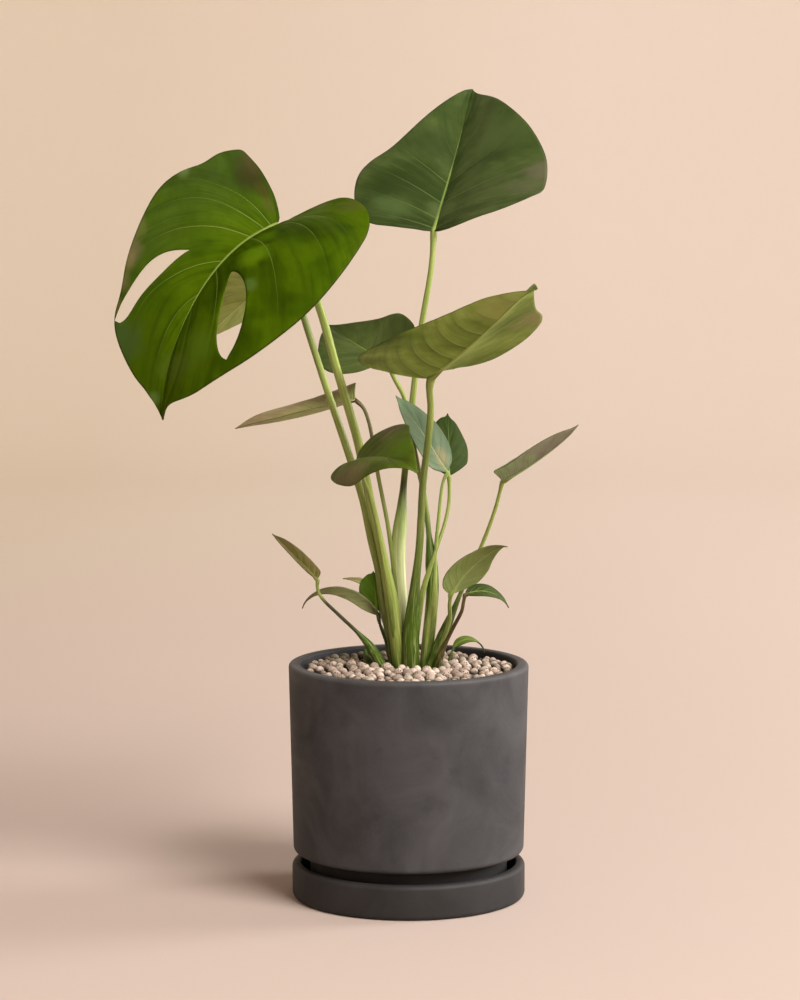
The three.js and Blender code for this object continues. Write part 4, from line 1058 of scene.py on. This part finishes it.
def stalkMaterial():
    # fleshy green with pale and dark stripes that run along the stalk
    material, tree, shader = newMaterial("stalk_flesh")
    tint, section = attribute(tree, "tint", "Color"), attribute(tree, "section", "Vector")
    along, strand, sheath = (attribute(tree, label) for label in ("along", "strand", "sheath"))
    place = section.vector("ADD", {1: joined(tree, X=strand * 3.7, Z=along * 3)})
    fine = place.noise(5.5, 3)
    grain = ownPlace(tree).noise(380, 2)
    pale, dark = mix(0.45, tint, srgb(190, 196, 128)), mix(0.4, tint, srgb(38, 48, 12))
    colour = mix(place.noise(1.6, 2).span(0.35, 0.62), dark, tint)
    colour = mix(fine.span(0.5, 0.68) * sheath.span(0, 1, 0.35, 0.8), colour, pale)
    colour = mix(grain.span(0.3, 0.7, 0, 0.12), colour, dark)
    setInputs(shader, {
        "Base Color": colour, "Roughness": fine.span(0.3, 0.7, 0.34, 0.5),
        "Normal": (fine * 0.6 + grain * 0.25).bump(0.5, 0.0006), "Specular IOR Level": 0.3,
        "Subsurface Weight": 0.08, "Subsurface Radius": (0.002, 0.003, 0.001),
        "Subsurface Scale": 1.0})
    return material


stalkFlesh = stalkMaterial()
growStalks = stalkTree()
stalkPieces = []
for name, stalks in stalkShapes.items():
    piece = addObject(name + "_grown", lineMesh(name + "_grown", stalks, stalkSettings))
    applyTree(piece, growStalks, {
        "Sides": stalkSettings["sides"], "Groove Depth": stalkSettings["grooveDepth"],
        "Groove Width": stalkSettings["grooveWidth"], "Unevenness": stalkSettings["unevenness"],
        "Material": stalkFlesh})
    keepPiece(piece, name)
    stalkPieces.append(piece)
print("stalks made:", sum(len(piece.data.polygons) for piece in stalkPieces), "faces")


# Pot and saucer, in mm; they are turned from profiles that run up the outside.
potSizes = {
    "rimRadius": 100, "lowRadius": 96.5, "top": 196.5, "sideBottom": 38, "wall": 10, "rimEdge": 3,
    "lowEdge": 4.5, "footRadius": 82.5, "footEdge": 2, "footBottom": 8.3, "innerEdge": 2,
    "innerFloor": 50, "innerCorner": 6, "drainRadius": 8,
}
saucerSizes = {"radius": 97.5, "height": 29, "wall": 7.5, "floor": 8, "edge": 4, "innerEdge": 1.5,
               "innerCorner": 3}
turnedDetail = {"sides": 180, "corner": 10, "step": 6.0}


def corner(radius, height, edge, fromAngle):
    # a quarter round of a profile, from an angle on, in an edge whose outer corner is given
    across = edge if fromAngle < 90 else -edge
    upward = edge if fromAngle >= 0 else -edge
    angles = np.radians(fromAngle + 90 * np.arange(turnedDetail["corner"] + 1) / turnedDetail["corner"])
    return [(radius - across + edge * math.cos(angle), height - upward + edge * math.sin(angle))
            for angle in angles]


def turnedMesh(name, profile, closed):
    fine = []
    for (r0, z0), (r1, z1) in zip(profile, profile[1:] + profile[:closed]):
        cuts = max(1, round(math.hypot(r1 - r0, z1 - z0) / turnedDetail["step"]))
        fine += [(mixValues(r0, r1, cut / cuts), mixValues(z0, z1, cut / cuts)) for cut in range(cuts)]
    if not closed:
        fine.append(profile[-1])
    sides = turnedDetail["sides"]
    points, rings, faces = [], [], []
    for radius, height in fine:
        count = sides if radius > 1e-6 else 1
        rings.append([len(points) + side % count for side in range(sides)])
        for turn in 2 * math.pi * np.arange(count) / sides:
            points.append((radius * mm * math.cos(turn), radius * mm * math.sin(turn), height * mm))
    for low, high in zip(rings, rings[1:] + rings[:closed]):
        for side in range(sides):
            after = (side + 1) % sides
            face = list(dict.fromkeys([low[side], low[after], high[after], high[side]]))
            if len(face) > 2:
                faces.append(face)
    return addMesh(name, points, [], faces)


def potProfile(sizes):
    floor, hole = sizes["innerFloor"], sizes["drainRadius"]
    innerLow = sizes["lowRadius"] - sizes["wall"]
    return [
        (hole, sizes["footBottom"]),
        *corner(sizes["footRadius"], sizes["footBottom"], sizes["footEdge"], -90),
        (sizes["footRadius"], sizes["sideBottom"]),
        *corner(sizes["lowRadius"], sizes["sideBottom"], sizes["lowEdge"], -90),
        *corner(sizes["rimRadius"], sizes["top"], sizes["rimEdge"], 0),
        *corner(sizes["rimRadius"] - sizes["wall"], sizes["top"], sizes["innerEdge"], 90),
        (innerLow, floor + sizes["innerCorner"]), (innerLow - sizes["innerCorner"], floor),
        (hole, floor),
    ]


def saucerProfile(sizes):
    floor, inner = sizes["floor"], sizes["radius"] - sizes["wall"]
    return [
        (0, 0),
        *corner(sizes["radius"], 0, sizes["edge"], -90),
        *corner(sizes["radius"], sizes["height"], sizes["edge"], 0),
        *corner(inner, sizes["height"], sizes["innerEdge"], 90),
        (inner, floor + sizes["innerCorner"]), (inner - sizes["innerCorner"], floor),
        (0, floor),
    ]


def concreteGroup():
    # clouds, blotches and air pits of cast concrete, in the piece's own metres
    tree, given, result = newTree("cast_concrete", "ShaderNodeTree", {
        "Color": ["Dark", "Light"], "Float": ["Blotch", "Pit Share"],
    }, {"Color": ["Color"], "Float": ["Roughness", "Height"]})
    place = ownPlace(tree)
    clouds = place.noise(14, 5, Roughness=0.6, Distortion=0.8)
    blotch = place.noise(45, 4, Roughness=0.65)
    dust = place.noise(620, 2)
    cells = place.cells(90)
    chosen = addNode(tree, "ShaderNodeSeparateColor", {"Color": cells["Color"]})
    pit = (cells["Distance"] < chosen[1] * 0.075) * (chosen[0] < given["Pit Share"])
    colour = mix(clouds.span(0.3, 0.7), given["Dark"], given["Light"])
    colour = mix(blotch.span(0.56, 0.74) * given["Blotch"], colour, given["Dark"])
    colour = mix(dust.span(0.35, 0.7, 0, 0.16), colour, given["Light"])
    setInputs(result, {
        "Color": mix(pit * 0.85, colour, srgb(20, 18, 17)),
        "Roughness": clouds.span(0.3, 0.7, 0.72, 0.6),
        "Height": dust * 0.12 + blotch * 0.25 - pit})
    return tree


castConcrete = concreteGroup()


def concreteMaterial(name, look):
    # painted shade: darker under the pot, inside the saucer and inside the pot; painted light: paler on the
    # rim's top
    material, tree, shader = newMaterial(name)
    cast = addNode(tree, "ShaderNodeGroup", {
        "Dark": look["dark"], "Light": look["light"], "Blotch": look["blotch"],
        "Pit Share": look["pitShare"]}, node_tree=castConcrete)
    parts = addNode(tree, "ShaderNodeSeparateXYZ", {"Vector": ownPlace(tree)})
    radius = joined(tree, X=parts["X"], Y=parts["Y"]).vector("LENGTH", output="Value")
    colour = cast["Color"]
    below, within = look["damp"]
    for heights, radii, share, other in (
            # painted shade under the pot and inside the saucer
            ((below + 1, below - 1), (within + 1, within - 1), 0.85, srgb(14, 12, 11)),
            ((192, 196.4), (92, 97), 0.15, srgb(126, 122, 120)),       # painted light: the rim's top, paler where it faces the light
            ((40, 60), (91.6, 90.2), 0.7, srgb(20, 19, 18))):          # painted shade inside the pot
        mask = (parts["Z"].span(*(height * mm for height in heights))
                * radius.span(*(limit * mm for limit in radii)))
        colour = mix(mask * share, colour, other)
    setInputs(shader, {
        "Base Color": colour, "Roughness": cast["Roughness"],
        "Normal": cast["Height"].bump(0.7, 0.0004), "Specular IOR Level": 0.35})
    return material


# The last entry of each look is painted shade: the height below which and the radius within which the
# concrete is painted dark, mm
concreteLooks = {
    "pot": {"dark": srgb(36, 36, 37), "light": srgb(64, 64, 66), "blotch": 0.5, "pitShare": 0.04,
            "damp": (38.5, 96)},
    "saucer": {"dark": srgb(27, 26, 25), "light": srgb(43, 42, 42), "blotch": 0.4, "pitShare": 0.03,
               "damp": (28, 90.5)},
}
for name, profile, closed in (
        ("pot", potProfile(potSizes), 1), ("saucer", saucerProfile(saucerSizes), 0)):
    piece = addObject(name + "_turned", turnedMesh(name + "_turned", profile, closed))
    piece.data.materials.append(concreteMaterial(name + "_concrete", concreteLooks[name]))
    keepPiece(piece, name)
print("pot and saucer made")


# Gravel and soil. Lengths are in mm, and a pair is the smallest and the largest.
gravelSettings = {
    "radius": 89.0,        # just inside the pot
    "middle": 192.0,       # height of the top layer's grain centres in the middle
    "side": 190.5,
    "layerDrop": 4.5,      # how much deeper the lower layer lies
    "inset": 0.3, "rings": 10, "sides": 48,
    "grain": [3.4, 4.9],   # radius of the pebbles
    "spacing": 7.8,
    "crumb": [0.9, 1.7],   # radius of the chips between them
    "crumbSpacing": 6.5,
    "clear": 1.2,          # gap to the stalks
    "roughness": 0.9, "seed": 4,
    "dull": ((-42, 50, 194), 54, (88, 76, 46), 0.85),      # where the pebbles turn darker and olive
    "deep": (193.4, 190.8),                                # painted shade low down between the pebbles
}


def gravelTree():
    # Geometry Nodes: pebbles and chips scattered on the mound, kept off the stalks
    tree, given, result = newTree("scatter_gravel", "GeometryNodeTree", {
        "Geometry": ["Mound"], "Object": ["Stalks"], "Int": ["Seed"],
        "Float": ["Spacing", "Grain Low", "Grain High", "Crumb Spacing", "Crumb Low", "Crumb High",
                  "Clear", "Roughness"],
        "Material": ["Material"],
    }, {"Geometry": ["Geometry"]})
    stalks = addNode(tree, "GeometryNodeObjectInfo", {"Object": given["Stalks"]},
                     transform_space="RELATIVE")["Geometry"]
    place = addNode(tree, "GeometryNodeInputPosition")["Position"]

    def drawn(output, seed, values, dataType):
        return addNode(tree, "FunctionNodeRandomValue", {**values, "Seed": seed}, data_type=dataType)[output]

    def scatter(seedShift, spacing, low, high, subdivisions):
        seed = given["Seed"] + seedShift
        points = addNode(tree, "GeometryNodeDistributePointsOnFaces", {
            "Mesh": given["Mound"], "Distance Min": spacing, "Density Max": 90000.0, "Seed": seed},
            distribute_method="POISSON")["Points"]
        away = addNode(tree, "GeometryNodeProximity", {"Geometry": stalks, "Sample Position": place},
                       target_element="FACES")["Distance"]
        points = addNode(tree, "GeometryNodeDeleteGeometry", {
            "Geometry": points, "Selection": away < low + given["Clear"]}, domain="POINT")["Geometry"]
        points = addNode(tree, "GeometryNodeStoreNamedAttribute", {
            "Geometry": points, "Name": "grainTone", "Value": drawn(1, seed, {}, "FLOAT")},
            data_type="FLOAT")["Geometry"]
        pebble = addNode(tree, "GeometryNodeMeshIcoSphere", {
            "Radius": 1.0, "Subdivisions": subdivisions})["Mesh"]
        turn = drawn(0, seed, {"Min": (0, 0, 0), "Max": (6.28, 6.28, 6.28)}, "FLOAT_VECTOR")
        shape = drawn(0, seed + 9, {"Min": (0.75, 0.8, 0.85), "Max": (1, 1, 1.1)}, "FLOAT_VECTOR")
        size = drawn(1, seed + 5, {2: low, 3: high}, "FLOAT")
        return addNode(tree, "GeometryNodeInstanceOnPoints", {
            "Points": points, "Instance": pebble, "Rotation": turn,
            "Scale": shape.vector("SCALE", {"Scale": size})})["Instances"]

    grains = addNode(tree, "GeometryNodeJoinGeometry")
    for shift, label, subdivisions in ((0, "Grain", 2), (40, "Crumb", 1)):
        spacing = given["Spacing" if label == "Grain" else "Crumb Spacing"]
        setInputs(grains.node, {"Geometry": scatter(
            shift, spacing, given[label + " Low"], given[label + " High"], subdivisions)})
    made = through(grains["Geometry"], "RealizeInstances")
    made = pushed(made, (place.noise(260, 3, Roughness=0.6) - 0.5) * given["Roughness"])
    made = through(through(made, "SetShadeSmooth"), "SetMaterial", {"Material": given["Material"]})
    setInputs(result, {"Geometry": made})
    return tree


def moundMesh(name, settings):
    # two low mounds, one under the other, that the pebbles lie on
    points, faces = [], []
    wide = settings["radius"] - settings["grain"][1] - settings["inset"]
    for drop in (0, settings["layerDrop"]):
        profile = []
        for ring in range(settings["rings"] + 1):
            share = ring / settings["rings"]
            height = mixValues(settings["middle"], settings["side"], share ** 2) - drop
            profile.append((wide * share * mm, height * mm))
        layer = disc(profile, settings["sides"], len(points))
        points += layer[0]
        faces += layer[1]
    return addMesh(name, points, [], faces)


def gravelMaterial(settings):
    # pale beige pumice: each pebble its own tone, with dark pits, darker clouds and painted shade low down
    # between the pebbles
    material, tree, shader = newMaterial("gravel_stone")
    place, tone = ownPlace(tree), attribute(tree, "grainTone")
    cloud = place.noise(320, 4)
    pits = place.cells(560)
    chosen = addNode(tree, "ShaderNodeSeparateColor", {"Color": pits["Color"]})
    pit = (pits["Distance"] < 0.36) * (chosen[0] < 0.34)
    colour = mix(tone, srgb(134, 117, 102), srgb(214, 193, 176))
    colour = mix(cloud.span(0.42, 0.75, 0, 0.5), colour, srgb(122, 106, 92))
    colour = mix(pit * 0.85, colour, srgb(46, 38, 30))
    colour = spotted(colour, *settings["dull"])
    colour = mix(tone.span(0.93, 0.95, 0, 0.55), colour, srgb(128, 122, 100))
    # painted shade: the lower parts of the pebbles, down between the others, are painted dark
    height = addNode(tree, "ShaderNodeSeparateXYZ", {"Vector": place})["Z"]
    deep = height.span(*(limit * mm for limit in settings["deep"]), 0, 0.9)
    setInputs(shader, {
        "Base Color": mix(deep, colour, srgb(46, 40, 26)), "Roughness": 0.9,
        "Normal": (cloud * 0.8 - pit).bump(0.8, 0.0004)})
    return material


def soilMaterial():
    # dark crumbs with browner clouds
    material, tree, shader = newMaterial("soil_dark")
    place = ownPlace(tree)
    crumbs = place.cells(420)["Distance"]
    colour = mix(place.noise(90, 5).span(0.3, 0.7), srgb(34, 26, 20), srgb(70, 54, 40))
    setInputs(shader, {
        "Base Color": mix(crumbs.span(0.2, 0.6, 0, 0.7), colour, srgb(26, 20, 15)),
        "Roughness": 0.95, "Normal": crumbs.bump(0.8, 0.001)})
    return material


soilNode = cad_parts["potting_soil"]
soilNode.data.materials.clear()
soilNode.data.materials.append(soilMaterial())

# all the stalks in one object, for the pebbles to keep clear of
stalkTarget = addObject("stalk_target", bpy.data.meshes.new("stalk_target"))
helper = bmesh.new()
for piece in stalkPieces:
    helper.from_mesh(piece.data)
helper.to_mesh(stalkTarget.data)
helper.free()
gravelPiece = addObject("gravel_pebbles", moundMesh("gravel_pebbles", gravelSettings))
lengths = {
    "Spacing": gravelSettings["spacing"], "Grain Low": gravelSettings["grain"][0],
    "Grain High": gravelSettings["grain"][1], "Crumb Spacing": gravelSettings["crumbSpacing"],
    "Crumb Low": gravelSettings["crumb"][0], "Crumb High": gravelSettings["crumb"][1],
    "Clear": gravelSettings["clear"], "Roughness": gravelSettings["roughness"],
}
applyTree(gravelPiece, gravelTree(), {
    **{label: length * mm for label, length in lengths.items()}, "Stalks": stalkTarget,
    "Seed": gravelSettings["seed"], "Material": gravelMaterial(gravelSettings)})
bpy.data.objects.remove(stalkTarget)
keepPiece(gravelPiece, "gravel")
print("gravel made:", len(gravelPiece.data.polygons), "faces")
